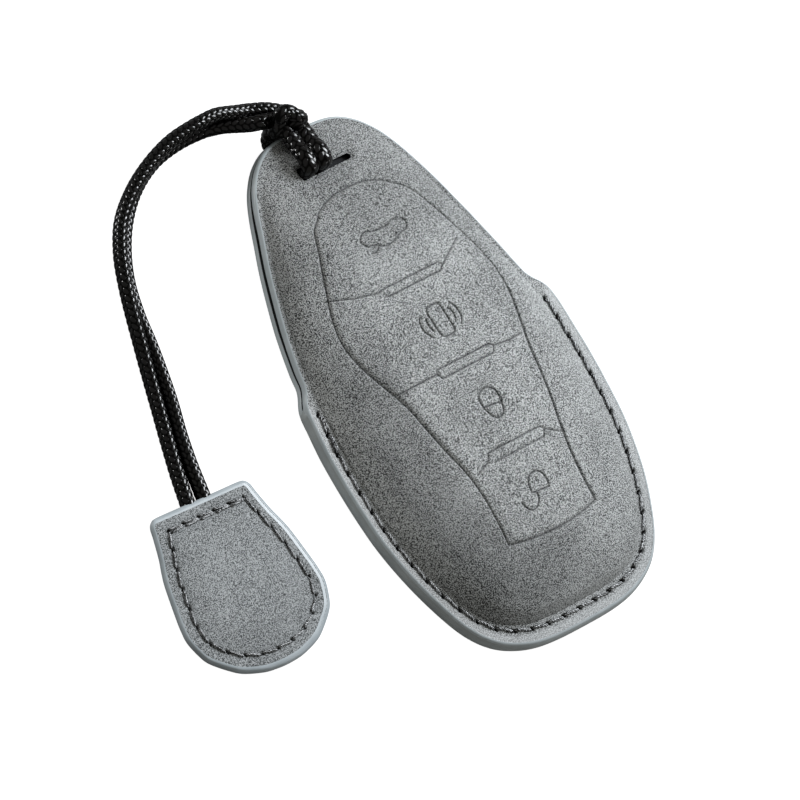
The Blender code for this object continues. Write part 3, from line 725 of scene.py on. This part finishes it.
# Its ends taper away where the edges part
band_margin -= 0.75 * eased(band_feet[:, 1], length_at(0.527), length_at(0.553))
profile = []
for degrees in range(-90, 91, 10):
    a = math.radians(degrees)
    profile.append((band_margin + 0.08 - 1.1 * (1 - math.cos(a) ** 0.95), 1.36 * math.sin(a) - 0.06))
profile += [(band_margin - 1.3, 1.2), (band_margin - 1.3, -1.2)]
count = len(band_feet)
verts = [at_level(band_feet + band_ways * reach[:, None], SEAM_LEVEL + z) for reach, z in profile]
faces = []
for k in range(len(profile)):
    a, b = k * count, (k + 1) % len(profile) * count
    faces += [(a + i, a + i + 1, b + i + 1, b + i) for i in range(count - 1)]
starts = [k * count for k in range(len(profile))]
faces += [tuple(starts), tuple(k + count - 1 for k in reversed(starts))]
band_mesh = new_mesh("seam_edge_paint", np.vstack(verts), faces)
finish_mesh(closed_form(band_mesh), band_mesh)
add_piece("seam_edge_paint", band_mesh, [edge_paint], "pouch")


# Stitches
# Waxed charcoal thread of three plies in a saddle stitch; each stitch humps between two holes that
# were pricked with a slanting awl.
def thread_material():
    """Waxed thread: charcoal, with a painted highlight on the parts that face up, broken by fibres of about
    0.5 mm.
    """
    material, tree, shader, place = new_material("waxed_charcoal_thread")
    way = add_node(tree, "TexCoord", output="Normal")
    upward = add_node(tree, "SeparateXYZ", {"Vector": way}, "Z")
    up = add_node(tree, "Math", {0: upward}, operation="ABSOLUTE")
    fibre = add_node(tree, "TexNoise", {"Vector": place, "Scale": 2200.0, "Detail": 2.0})
    # Parts that face up are painted near-white: a painted highlight, broken by the fibres
    painted_glint = add_node(tree, "Math", {0: up, 1: fibre}, operation="MULTIPLY")
    level = add_node(tree, "MapRange", {"Value": painted_glint, "From Min": 0.34, "From Max": 0.46})
    colour = add_node(tree, "Mix", {"Factor": level, "A": rgb("#1d1f21"), "B": rgb("#d6d9dc")},
                      data_type="RGBA")
    feed(tree, shader, {"Base Color": colour, "Roughness": 0.24, "Specular IOR Level": 1.0})
    return material


thread = thread_material()
PLIES = 3


def stitch_mesh(length, radius, hump, dip):
    """One stitch along X: three plies twisted together, its ends dipping into the holes."""
    steps, sides = 16, 6
    verts, faces = [], []
    for ply in range(PLIES):
        base = len(verts)
        for k in range(steps + 1):
            t = k / steps
            x = (t - 0.5) * length
            z = hump * (1 - abs(2 * t - 1) ** 4) - dip * abs(2 * t - 1) ** 8
            turn = 2 * math.pi * (ply / PLIES + 1.8 * t)
            y, z = 0.6 * radius * math.cos(turn), z + 0.6 * radius * math.sin(turn)
            for s in range(sides):
                a = 2 * math.pi * s / sides
                verts.append((x, y + 0.5 * radius * math.cos(a), z + 0.5 * radius * math.sin(a)))
        for k in range(steps):
            for s in range(sides):
                a, b = base + k * sides + s, base + k * sides + (s + 1) % sides
                faces.append((a, a + sides, b + sides, b))
        faces.append(tuple(base + s for s in range(sides)))
        faces.append(tuple(base + steps * sides + s for s in reversed(range(sides))))
    mesh = new_mesh("one_stitch", verts, faces)
    bm = closed_form(mesh)
    bm.to_mesh(mesh)
    bm.free()
    mesh.shade_smooth()
    return mesh


def repeated(name, spots, turns, one, material):
    """A copy of one stitch at each spot, turned as given, as a single mesh."""
    base = new_mesh(name, spots, [])
    turn = base.attributes.new("turn", "FLOAT_VECTOR", "POINT")
    turn.data.foreach_set("vector", np.array(turns, float).ravel())
    carrier = new_object(name + "_carrier", base)
    sample = new_object(name + "_one", one)
    group = bpy.data.node_groups.new(name, "GeometryNodeTree")
    _, piece_in, paint_in, _ = (
        group.interface.new_socket(label, in_out=way, socket_type="NodeSocket" + label)
        for label, way in (("Geometry", "INPUT"), ("Object", "INPUT"), ("Material", "INPUT"),
                           ("Geometry", "OUTPUT"))
    )
    start, info, named, copies, real, painted, end = (
        group.nodes.new(kind)
        for kind in ("NodeGroupInput", "GeometryNodeObjectInfo", "GeometryNodeInputNamedAttribute",
                     "GeometryNodeInstanceOnPoints", "GeometryNodeRealizeInstances",
                     "GeometryNodeSetMaterial", "NodeGroupOutput")
    )
    named.data_type = "FLOAT_VECTOR"
    named.inputs["Name"].default_value = "turn"
    for giver, output, taker, socket in (
        (start, "Geometry", copies, "Points"),
        (start, "Object", info, "Object"),
        (info, "Geometry", copies, "Instance"),
        (named, "Attribute", copies, "Rotation"),
        (copies, "Instances", real, "Geometry"),
        (real, "Geometry", painted, "Geometry"),
        (start, "Material", painted, "Material"),
        (painted, "Geometry", end, "Geometry"),
    ):
        group.links.new(giver.outputs[output], taker.inputs[socket])
    nodes = carrier.modifiers.new("Repeats", "NODES")
    nodes.node_group = group
    nodes[piece_in.identifier] = sample
    nodes[paint_in.identifier] = material
    graph = bpy.context.evaluated_depsgraph_get()
    mesh = bpy.data.meshes.new_from_object(carrier.evaluated_get(graph))
    mesh.name = name
    for obj in (carrier, sample):
        bpy.data.objects.remove(obj)
    mesh.shade_smooth()
    return mesh


def stitch_places(holes, z, lean):
    """The middle and the turn of each stitch between neighbouring holes."""
    spots, turns = [], []
    for a, b in zip(holes, holes[1:]):
        spots.append(((a[0] + b[0]) / 2, (a[1] + b[1]) / 2, z))
        turns.append((0, 0, math.atan2(b[1] - a[1], b[0] - a[0]) + lean))
    return spots, turns


def with_back_tacks(spots, turns):
    """The seam's two end stitches are sewn over twice, a thread's width to the side."""
    for i, step in ((0, 1), (1, 1), (-1, -1), (-2, -1)):
        x, y, z = spots[i]
        turn = turns[i]
        across = Vector((-math.sin(turn[2]), math.cos(turn[2]))) * 0.36 * step
        spots.append((x + across.x, y + across.y, z + 0.1))
        turns.append((turn[0], turn[1], turn[2] + 0.12 * step))
    return spots, turns


def sew(name, spots, turns, one, body, replaced, place=Matrix()):
    """All the stitches of one side of a seam."""
    mesh = repeated(name, spots, turns, one, thread)
    mesh.transform(place)
    add_piece(name, mesh, [], body, replaced)


# A stitch spans most of its pitch, and turns a little across the seam from one slanted hole to the next
STITCH_SPAN = 0.95
STITCH_TURN = 0.14
seam_pitch = length_of(seam_line) / (SEAM_HOLES - 1)
seam_stitch = stitch_mesh(STITCH_SPAN * seam_pitch, 0.25, 0.24, 0.5)
spots, turns = with_back_tacks(*stitch_places(seam_holes, FRONT_FACE - 0.1, -STITCH_TURN))
sew("seam_stitches_front", spots, turns, seam_stitch, "pouch", "seam_thread_front")
spots, turns = stitch_places(seam_holes, BACK_FACE, STITCH_TURN)
turns = [(math.pi, 0, z) for _, _, z in turns]
sew("seam_stitches_back", spots, turns, seam_stitch, "pouch", "seam_thread_back")


# Cord hitch
# Round waxed cotton braid in one unbroken length: in from the inner strand, down through the
# slots, up round the pair as a bight, down through the slots again and out as the outer strand.
HITCH_MM = [
    (-9.52, 55.82, 7.51), (-8.49, 55.44, 8.01), (-6.0, 54.96, 7.73), (-5.1, 54.26, 7.89),
    (-4.49, 53.29, 8.04), (-4.55, 52.08, 8.21), (-4.55, 51.55, 8.67), (-4.53, 50.25, 8.85),
    (-4.49, 47.52, 9.5), (-4.45, 45.4, 10.49), (-4.45, 43.67, 10.02), (-4.45, 43.2, 8.29),
    (-4.45, 43.2, 6.37), (-4.45, 43.2, 4.46), (-4.45, 43.67, 2.73), (-4.45, 45.4, 2.26),
    (-4.45, 48.57, 2.35), (-4.45, 51.15, 2.35), (-4.76, 52.35, 3.55), (-5.69, 52.35, 5.35),
    (-7.09, 52.05, 6.85), (-7.55, 52.2, 8.21), (-7.28, 52.91, 9.45), (-6.29, 53.71, 10.55),
    (-4.67, 54.05, 10.96), (-3.05, 54.14, 11.02), (-1.43, 54.15, 10.96), (0.19, 53.92, 10.55),
    (1.18, 53.2, 9.45), (1.45, 52.5, 8.21), (1.09, 52.35, 6.85), (0.01, 52.35, 5.35),
    (-0.71, 52.35, 3.55), (-0.95, 51.15, 2.35), (-0.95, 48.57, 2.35), (-0.95, 45.4, 2.26),
    (-0.95, 43.67, 2.73), (-0.95, 43.2, 4.46), (-0.95, 43.2, 6.37), (-0.95, 43.2, 8.29),
    (-0.95, 43.67, 10.02), (-0.95, 45.4, 10.49), (-1.19, 47.52, 9.5), (-1.43, 50.25, 8.85),
    (-1.55, 51.55, 8.67), (-1.55, 52.08, 8.21), (-1.71, 54.41, 7.86), (-2.45, 55.75, 7.63),
    (-3.5, 56.88, 7.4), (-4.79, 57.71, 7.18), (-7.53, 58.71, 6.65), (-8.72, 58.84, 6.76),
]
OUTER_MM = [
    (-10.2, 59.0, 6.9), (-14.4, 59.45, 7.3), (-18.8, 59.45, 7.15), (-25.1, 58.9, 6.05), (-31.1, 57.05, 4.9),
    (-36.8, 54.2, 4.0), (-41.9, 50.3, 3.45), (-45.6, 45.3, 3.3), (-48.1, 39.9, 3.13), (-50.0, 34.5, 2.72),
    (-51.6, 29.0, 2.15), (-53.1, 23.5, 1.7), (-54.7, 17.9, 1.42), (-56.4, 12.4, 1.32), (-58.05, 6.8, 1.3),
    (-59.25, 2.3, 1.45),
]
INNER_MM = [
    (-10.8, 56.3, 6.9), (-13.2, 57.2, 5.75), (-16.0, 58.1, 4.4), (-21.7, 58.35, 2.95), (-27.8, 57.3, 1.8),
    (-33.8, 54.5, 1.3), (-39.0, 50.4, 1.28), (-43.0, 45.5, 1.28), (-45.8, 40.2, 1.28), (-47.3, 34.6, 1.28),
    (-48.1, 29.0, 1.28), (-49.3, 23.4, 1.28), (-50.7, 17.9, 1.28), (-52.5, 12.4, 1.28), (-54.0, 6.8, 1.33),
    (-55.05, 2.1, 1.45),
]


def cord_material():
    """Black waxed braid: fine fibres along near-black plaits, whose waxed crowns catch the light and are
    painted a little paler.
    """
    material, tree, shader, place = new_material("black_waxed_braid")
    way = add_node(tree, "UVMap", uv_map="way")
    fibre = add_node(tree, "Mapping", {"Vector": way, "Scale": (70.0, 2.5, 1.0)})
    streak = add_node(tree, "TexNoise", {"Vector": fibre, "Scale": 1.0, "Detail": 3.0})
    wax = add_node(tree, "TexNoise", {"Vector": place, "Scale": 700.0, "Detail": 2.0})
    crown = add_node(tree, "Attribute", output="Fac", attribute_name="crown")
    # The waxed crowns are painted a little paler than the hollows between the plaits: a faint painted
    # highlight, patchy with the wax
    wax_and_highlight = add_node(tree, "Math", {0: crown, 1: wax}, operation="MULTIPLY")
    level = add_node(tree, "MapRange", {"Value": wax_and_highlight, "From Min": 0.3, "From Max": 0.62})
    colour = add_node(tree, "Mix", {"Factor": level, "A": rgb("#020202"), "B": rgb("#0b0b0c")},
                      data_type="RGBA")
    relief = add_node(tree, "Bump", {"Height": streak, "Strength": 0.2, "Distance": 0.05 * MM})
    rough = add_node(tree, "MapRange", {"Value": wax, "From Min": 0.35, "From Max": 0.65, "To Min": 0.12,
                                        "To Max": 0.24})
    shine = add_node(tree, "MapRange", {"Value": crown, "From Min": 0.34, "From Max": 0.68, "To Min": 0.1,
                                        "To Max": 0.5})
    feed(tree, shader, {"Base Color": colour, "Normal": relief, "Roughness": rough,
                        "Specular IOR Level": shine})
    return material


waxed_braid = cord_material()
CORD_STEP = 0.13
# Eight plaits round the cord; each surfaces as a leaning oval of these half sizes, a little proud
PLAITS = 8
PLAIT_PITCH = 1.3
PLAIT_RADIUS = 1.25
PLAIT_LEAN = math.radians(33)
CROWN_LENGTH, CROWN_WIDTH = 0.78, 0.43
CROWN_RELIEF = 0.1


def plait_crowns(turn, along):
    """Height, 0 to 1, of a round braid's skin: each plait surfaces as a leaning oval crown."""
    crowns = np.zeros(np.broadcast(turn, along).shape)
    column = np.floor(turn * PLAITS)
    for side in (-1, 0, 1):
        c = column + side
        across = (turn - (c + 0.5) / PLAITS) * 2 * np.pi * PLAIT_RADIUS
        odd = np.mod(c, 2)
        shift = along / PLAIT_PITCH - 0.5 * odd
        lean_way = np.where(odd > 0, 1, -1) * PLAIT_LEAN
        for extra in (-1, 0, 1):
            reach = (shift - np.round(shift) + extra) * PLAIT_PITCH
            length = reach * np.cos(lean_way) + across * np.sin(lean_way)
            width = across * np.cos(lean_way) - reach * np.sin(lean_way)
            left = 1 - (length / CROWN_LENGTH) ** 2 - (width / CROWN_WIDTH) ** 2
            crowns = np.maximum(crowns, np.sqrt(np.clip(left, 0, 1)))
    return crowns


def braided(name, line, radius, wide, flat, start_length):
    """A braided cord along a line; at each row, wide stretches it sideways and flat presses it down."""
    sides = 56
    ways = np.gradient(line, axis=0)
    ways /= np.linalg.norm(ways, axis=1)[:, None]
    along = start_length + np.arange(len(line)) * CORD_STEP
    turn = np.arange(sides) / sides
    normals = []
    normal = Vector((1, 0.2, 0.1))
    for way in ways:
        way = Vector(way)
        normal = (normal - way * normal.dot(way)).normalized()
        normals.append(normal[:])
    normals = np.array(normals)
    acrosses = np.cross(ways, normals)
    crowns = plait_crowns(turn[None, :], along[:, None])
    high = radius[:, None] * (1 + CROWN_RELIEF * crowns)
    angle = 2 * np.pi * turn
    skin = normals[:, None, :] * (np.cos(angle) * high)[:, :, None]
    skin += acrosses[:, None, :] * (np.sin(angle) * high)[:, :, None]
    sideways = skin[:, :, 0] * (wide - flat)[:, None]
    skin *= flat[:, None, None]
    skin[:, :, 0] += sideways
    verts = (line[:, None, :] + skin).reshape(-1, 3)
    rows = len(line)
    k, i = np.meshgrid(np.arange(rows - 1), np.arange(sides), indexing="ij")
    a, b = k * sides + i, k * sides + (i + 1) % sides
    quads = np.stack([a, b, b + sides, a + sides], axis=-1).reshape(-1, 4)
    ends = [tuple(range(sides))[::-1], tuple((rows - 1) * sides + j for j in range(sides))]
    mesh = new_mesh(name, verts, quads.tolist() + ends)
    crown_data = mesh.attributes.new("crown", "FLOAT", "POINT")
    crown_data.data.foreach_set("value", crowns.ravel())
    u = np.stack([i, i + 1, i + 1, i], axis=-1) / sides
    v = np.stack([along[k], along[k], along[k + 1], along[k + 1]], axis=-1)
    layer = mesh.uv_layers.new(name="way")
    marks = np.zeros((len(mesh.loops), 2))
    marks[: u.size] = np.column_stack([u.ravel(), v.ravel()])
    layer.data.foreach_set("uv", marks.ravel())
    smooth(mesh, 80)
    return mesh


hitch_line = even(through(np.vstack([INNER_MM[2:0:-1], INNER_MM[:1], HITCH_MM, OUTER_MM[:3]]), 8), CORD_STEP)
x, y, z = hitch_line.T
# The knot is pulled tight: the bight hugs the pair, which leans over to the right. Each of these is
# 1 on one stretch of the cord and 0 elsewhere.
on_front = eased(y, 43.5, 51.5) * eased(z, 5, 7) * (1 - eased(y, 55, 58))
bight = eased(z, 8.2, 10.4) * eased(y, 51.2, 52.4)
round_edge = eased(y, 50.9, 52) * (1 - eased(y, 53.6, 54.6))
right_leg = round_edge * eased(x, 0, 1)
left_leg = round_edge * eased(-x, 5.6, 7.2) * eased(z, 5, 6)
low_leg = eased(y, 49, 50.6) * eased(-x, 3, 4.2) * (1 - eased(-x, 8, 9)) * (1 - eased(z, 5, 6.4))
shoulder = bight * eased(x, -4, 0.8)
into_slot = eased(z, 3, 5) * (1 - eased(y, 43.7, 45.2))
outer_exit = (np.arange(len(x)) > 0.8 * len(x)) * eased(y, 54, 56) * eased(x, -16, -6)
inner_exit = (np.arange(len(x)) < 0.2 * len(x)) * eased(y, 54, 55) * eased(x, -14, -9)
to_right = on_front + 1.5 * left_leg + 1.4 * low_leg - 1.8 * right_leg - 2.1 * bight * eased(x, -6, 1)
to_top = -0.5 * into_slot - 0.1 * bight - 2.2 * shoulder - 1.15 * outer_exit - 0.7 * inner_exit
off_face = -0.3 * bight + 0.25 * into_slot * eased(z, 9.5, 10)
hitch_line = even(hitch_line + np.column_stack([to_right, to_top, off_face]), CORD_STEP)
x, y, z = hitch_line.T
# The cord is pressed flat where it crosses the front, and is a little fuller in the knot
over_front = np.convolve((np.abs(y - 46) < 6).astype(float), np.ones(19) / 19, mode="same")
hitch_radius = 1.23 + 0.13 * eased(y, 50, 52) * eased(x, -14, -8)
mesh = braided("cord_hitch_skin", hitch_line, hitch_radius, 1 + 0.4 * over_front, 1 - 0.12 * over_front, 0)
hitch = new_object("cord_hitch_skin", mesh, waxed_braid)
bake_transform(hitch)
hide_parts("cord_hitch")


def onward(points, length):
    """A point further along the way that a line ends in."""
    way = points[-1] - points[-2]
    return points[-1] + way / np.linalg.norm(way) * length


def free_strand(name, points, closer, replaced):
    """One strand from the knot into the tag; closer moves it towards the other one, near the tag."""
    whole = through(points, 8)
    begins = np.argmin(np.linalg.norm(whole - points[2], axis=1))
    line = np.vstack([whole[begins:], onward(whole, 4)])
    lay = even(line, CORD_STEP)
    y = lay[:, 1]
    lay[:, 0] += closer * (0.34 * (1 - eased(y, 28, 42)) - 0.09 * (1 - eased(y, 0, 10)))
    squeezed = 1 - eased(y, 0, 18)
    mesh = braided(name, lay, np.full(len(lay), 1.23), 1 + 0.14 * squeezed, 1 - 0.04 * squeezed, 40)
    strand = new_object(name, mesh, waxed_braid)
    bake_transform(strand)
    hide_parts(replaced)


free_strand("cord_strand_outer_skin", np.array(OUTER_MM), 1, "cord_strand_outer")
free_strand("cord_strand_inner_skin", np.array(INNER_MM), -1, "cord_strand_inner")


# Cord ends
# The last 11 mm of each strand, pressed flat and glued between the tag's two leathers.
END_LENGTH = 11
END_WIDENING, END_FLATNESS = 1.2, 0.48


def cord_end(name, points, replaced):
    """One flattened end, onward from where its strand stops."""
    line = even(np.vstack([points[-1], onward(points, END_LENGTH)]), CORD_STEP)
    full = np.ones(len(line))
    mesh = braided(name, line, 1.1 * full, END_WIDENING * full, END_FLATNESS * full, 0)
    add_piece(name, mesh, [waxed_braid], "tag", replaced)


cord_end("cord_end_outer_skin", np.array(OUTER_MM), "cord_end_outer")
cord_end("cord_end_inner_skin", np.array(INNER_MM), "cord_end_inner")


# Tag
# Two leathers cut alike and sewn all round over the cord's flattened ends. The front one is puffed
# up inside the seam, and the sanded edges are painted.
TAG_LENGTH = 32.75
TAG_HALF_WIDTH = 16.95
TAG_LEATHER = 1.3
TAG_FACE = TAG_LEATHER + 0.15
TAG_SEAM_INSET = 3.0
TAG_TURN = Matrix.Rotation(math.radians(-2.73), 4, "Z")
# The edge is sanded with a slant, so that the left side shows less of it
TAG_SLANT = Matrix(((1, 0, -0.5, 0.1 * MM), (0, 1, 0, 0), (0, 0, 1, 0), (0, 0, 0, 1)))
TAG_PLACE = Matrix.Translation(Vector((-57.15, 2.2, 1.45)) * MM) @ TAG_TURN @ TAG_SLANT
TAG_MOUTH = -1.5
TAG_SHARES = [
    (0, 0), (0.28, 0), (0.585, 0), (0.665, 0.012), (0.705, 0.04), (0.73, 0.095), (0.79, 0.205), (0.845, 0.28),
    (0.89, 0.357), (0.95, 0.52), (0.973, 0.60), (0.976, 0.675), (0.922, 0.762), (0.848, 0.826), (0.66, 0.906),
    (0.51, 0.951), (0.27, 0.988), (0.1, 0.998), (0, 1),
]
tag_leather = leather_material("fine_grey_tag_leather", "#343839", "#c0c4c6", 0.185, 0.08, 0.7)
tag_paint = paint_material("light_blue_grey_edge_paint", "#aab4b9", "#b9c2c7")
tag_half = through([(x * TAG_HALF_WIDTH, TAG_MOUTH - y * TAG_LENGTH) for x, y in TAG_SHARES][::-1], 12)
tag_loop, tag_out = both_sides(tag_half, 150)
tag_middle = np.array([0, TAG_MOUTH - 0.55 * TAG_LENGTH])


def inset(amount):
    """The tag's outline moved inwards; points that would cross at a corner gather on it."""
    moved = tag_loop - tag_out * np.reshape(amount, (-1, 1))
    gaps = np.linalg.norm(moved[:, None, :] - tag_loop[None, :, :], axis=2).min(axis=1)
    good = gaps > amount - 0.06
    index = np.arange(len(moved))
    tripled = np.concatenate([index[good] - len(moved), index[good], index[good] + len(moved)])
    for k in index[~good]:
        before = moved[tripled[tripled < k][-1] % len(moved)]
        after = moved[tripled[tripled > k][0] % len(moved)]
        moved[k] = (before + after) / 2
    return moved


# The seam follows the outline, with its corners rounded off
tag_seam = inset(TAG_SEAM_INSET)
for _ in range(40):
    tag_seam = (np.roll(tag_seam, 1, axis=0) + tag_seam + np.roll(tag_seam, -1, axis=0)) / 3
tag_seam = np.vstack([tag_seam, tag_seam[:1]])
tag_holes = even(tag_seam, 3.55)


def tag_leaf(name, sign, crown, replaced):
    """One of the tag's two leathers, face up or down; crown is how far it puffs up inside the seam."""
    rings = []
    for share in np.concatenate([[1, 0.97], np.arange(0.9, 0.0, -0.06), [0.03, 0.0]]):
        p = inset(TAG_SEAM_INSET) * (1 - share) + tag_middle * share
        rings.append((p, TAG_FACE + crown * min(1, (share / 0.4) ** 1.1)))
    rings += [(inset(amount), TAG_FACE) for amount in (2.7, 2.4, 2.1, 1.8, 1.3, 0.8)]
    paint_from = len(rings)
    for degrees in range(90, -91, -15):
        a = math.radians(degrees)
        rings.append((inset(0.3 + 0.4 * (1 - math.cos(a) ** 0.8)), 0.75 + 0.7 * math.sin(a)))
    paint_to = len(rings) - 1
    rings += [(inset(0.5) * (1 - share) + tag_middle * share, 0.12) for share in (0.1, 0.5, 1)]
    rings = [at_level(p, sign * z) for p, z in rings]
    mesh, bm = mesh_from_rings(name, rings, (paint_from, paint_to), sign > 0)
    refine(bm, finder(tag_holes), (1.0, 0.6, 0.35), sign)
    painted_shade = bm.verts.layers.float.new("painted_shade")
    holes, seam = finder(slanted(tag_holes)), finder(even(tag_seam, 0.2))
    for v in [v for v in bm.verts if v.normal.z * sign > 0.1]:
        hole, groove = gap_to(holes, v), gap_to(seam, v)
        # Painted shade in the stitch holes and the seam's groove
        v[painted_shade] = max(dent(hole, 0.24, 4), 0.08 * dent(groove, 0.4))
        v.co.z -= sign * (0.4 * dent(hole, 0.25) + 0.1 * dent(groove, 0.5)) * MM
    finish_mesh(bm, mesh, TAG_PLACE)
    add_piece(name, mesh, [tag_leather, tag_paint, tag_leather], "tag", replaced)


tag_leaf("tag_front_skin", 1, 0.5, "tag_front")
tag_leaf("tag_back_skin", -1, 0.0, "tag_back")

# The paint laps over the face, more on the tag's right
overlap = 1.1 + 0.4 * tag_out[:, 0]
rows = []
for degrees in range(-90, 91, 10):
    a = math.radians(degrees)
    rows.append(at_level(inset(overlap * (1 - math.cos(a) ** 0.55) - 0.03), 1.49 * math.sin(a)))
rows += [at_level(inset(overlap), z) for z in (1.2, -1.2)] + rows[:1]
edge_mesh, bm = mesh_from_rings("tag_edge_paint", rows, (99, 99), False)
bmesh.ops.recalc_face_normals(bm, faces=bm.faces)
finish_mesh(bm, edge_mesh, TAG_PLACE)
add_piece("tag_edge_paint", edge_mesh, [tag_paint], "tag")

tag_pitch = length_of(tag_holes) / (len(tag_holes) - 1)
spots, turns = stitch_places(tag_holes, TAG_FACE, -STITCH_TURN)
# Along the mouth the stitches are sewn twice
for i in [i for i, spot in enumerate(spots) if spot[1] > TAG_MOUTH - 4.5]:
    x, y, z = spots[i]
    spots.append((x, y - 0.45, z + 0.08))
    turns.append((0, 0, turns[i][2] + 0.2))
tag_stitch = stitch_mesh(STITCH_SPAN * tag_pitch, 0.21, 0.2, 0.42)
sew("tag_stitches", spots, turns, tag_stitch, "tag", "tag_thread", TAG_PLACE)
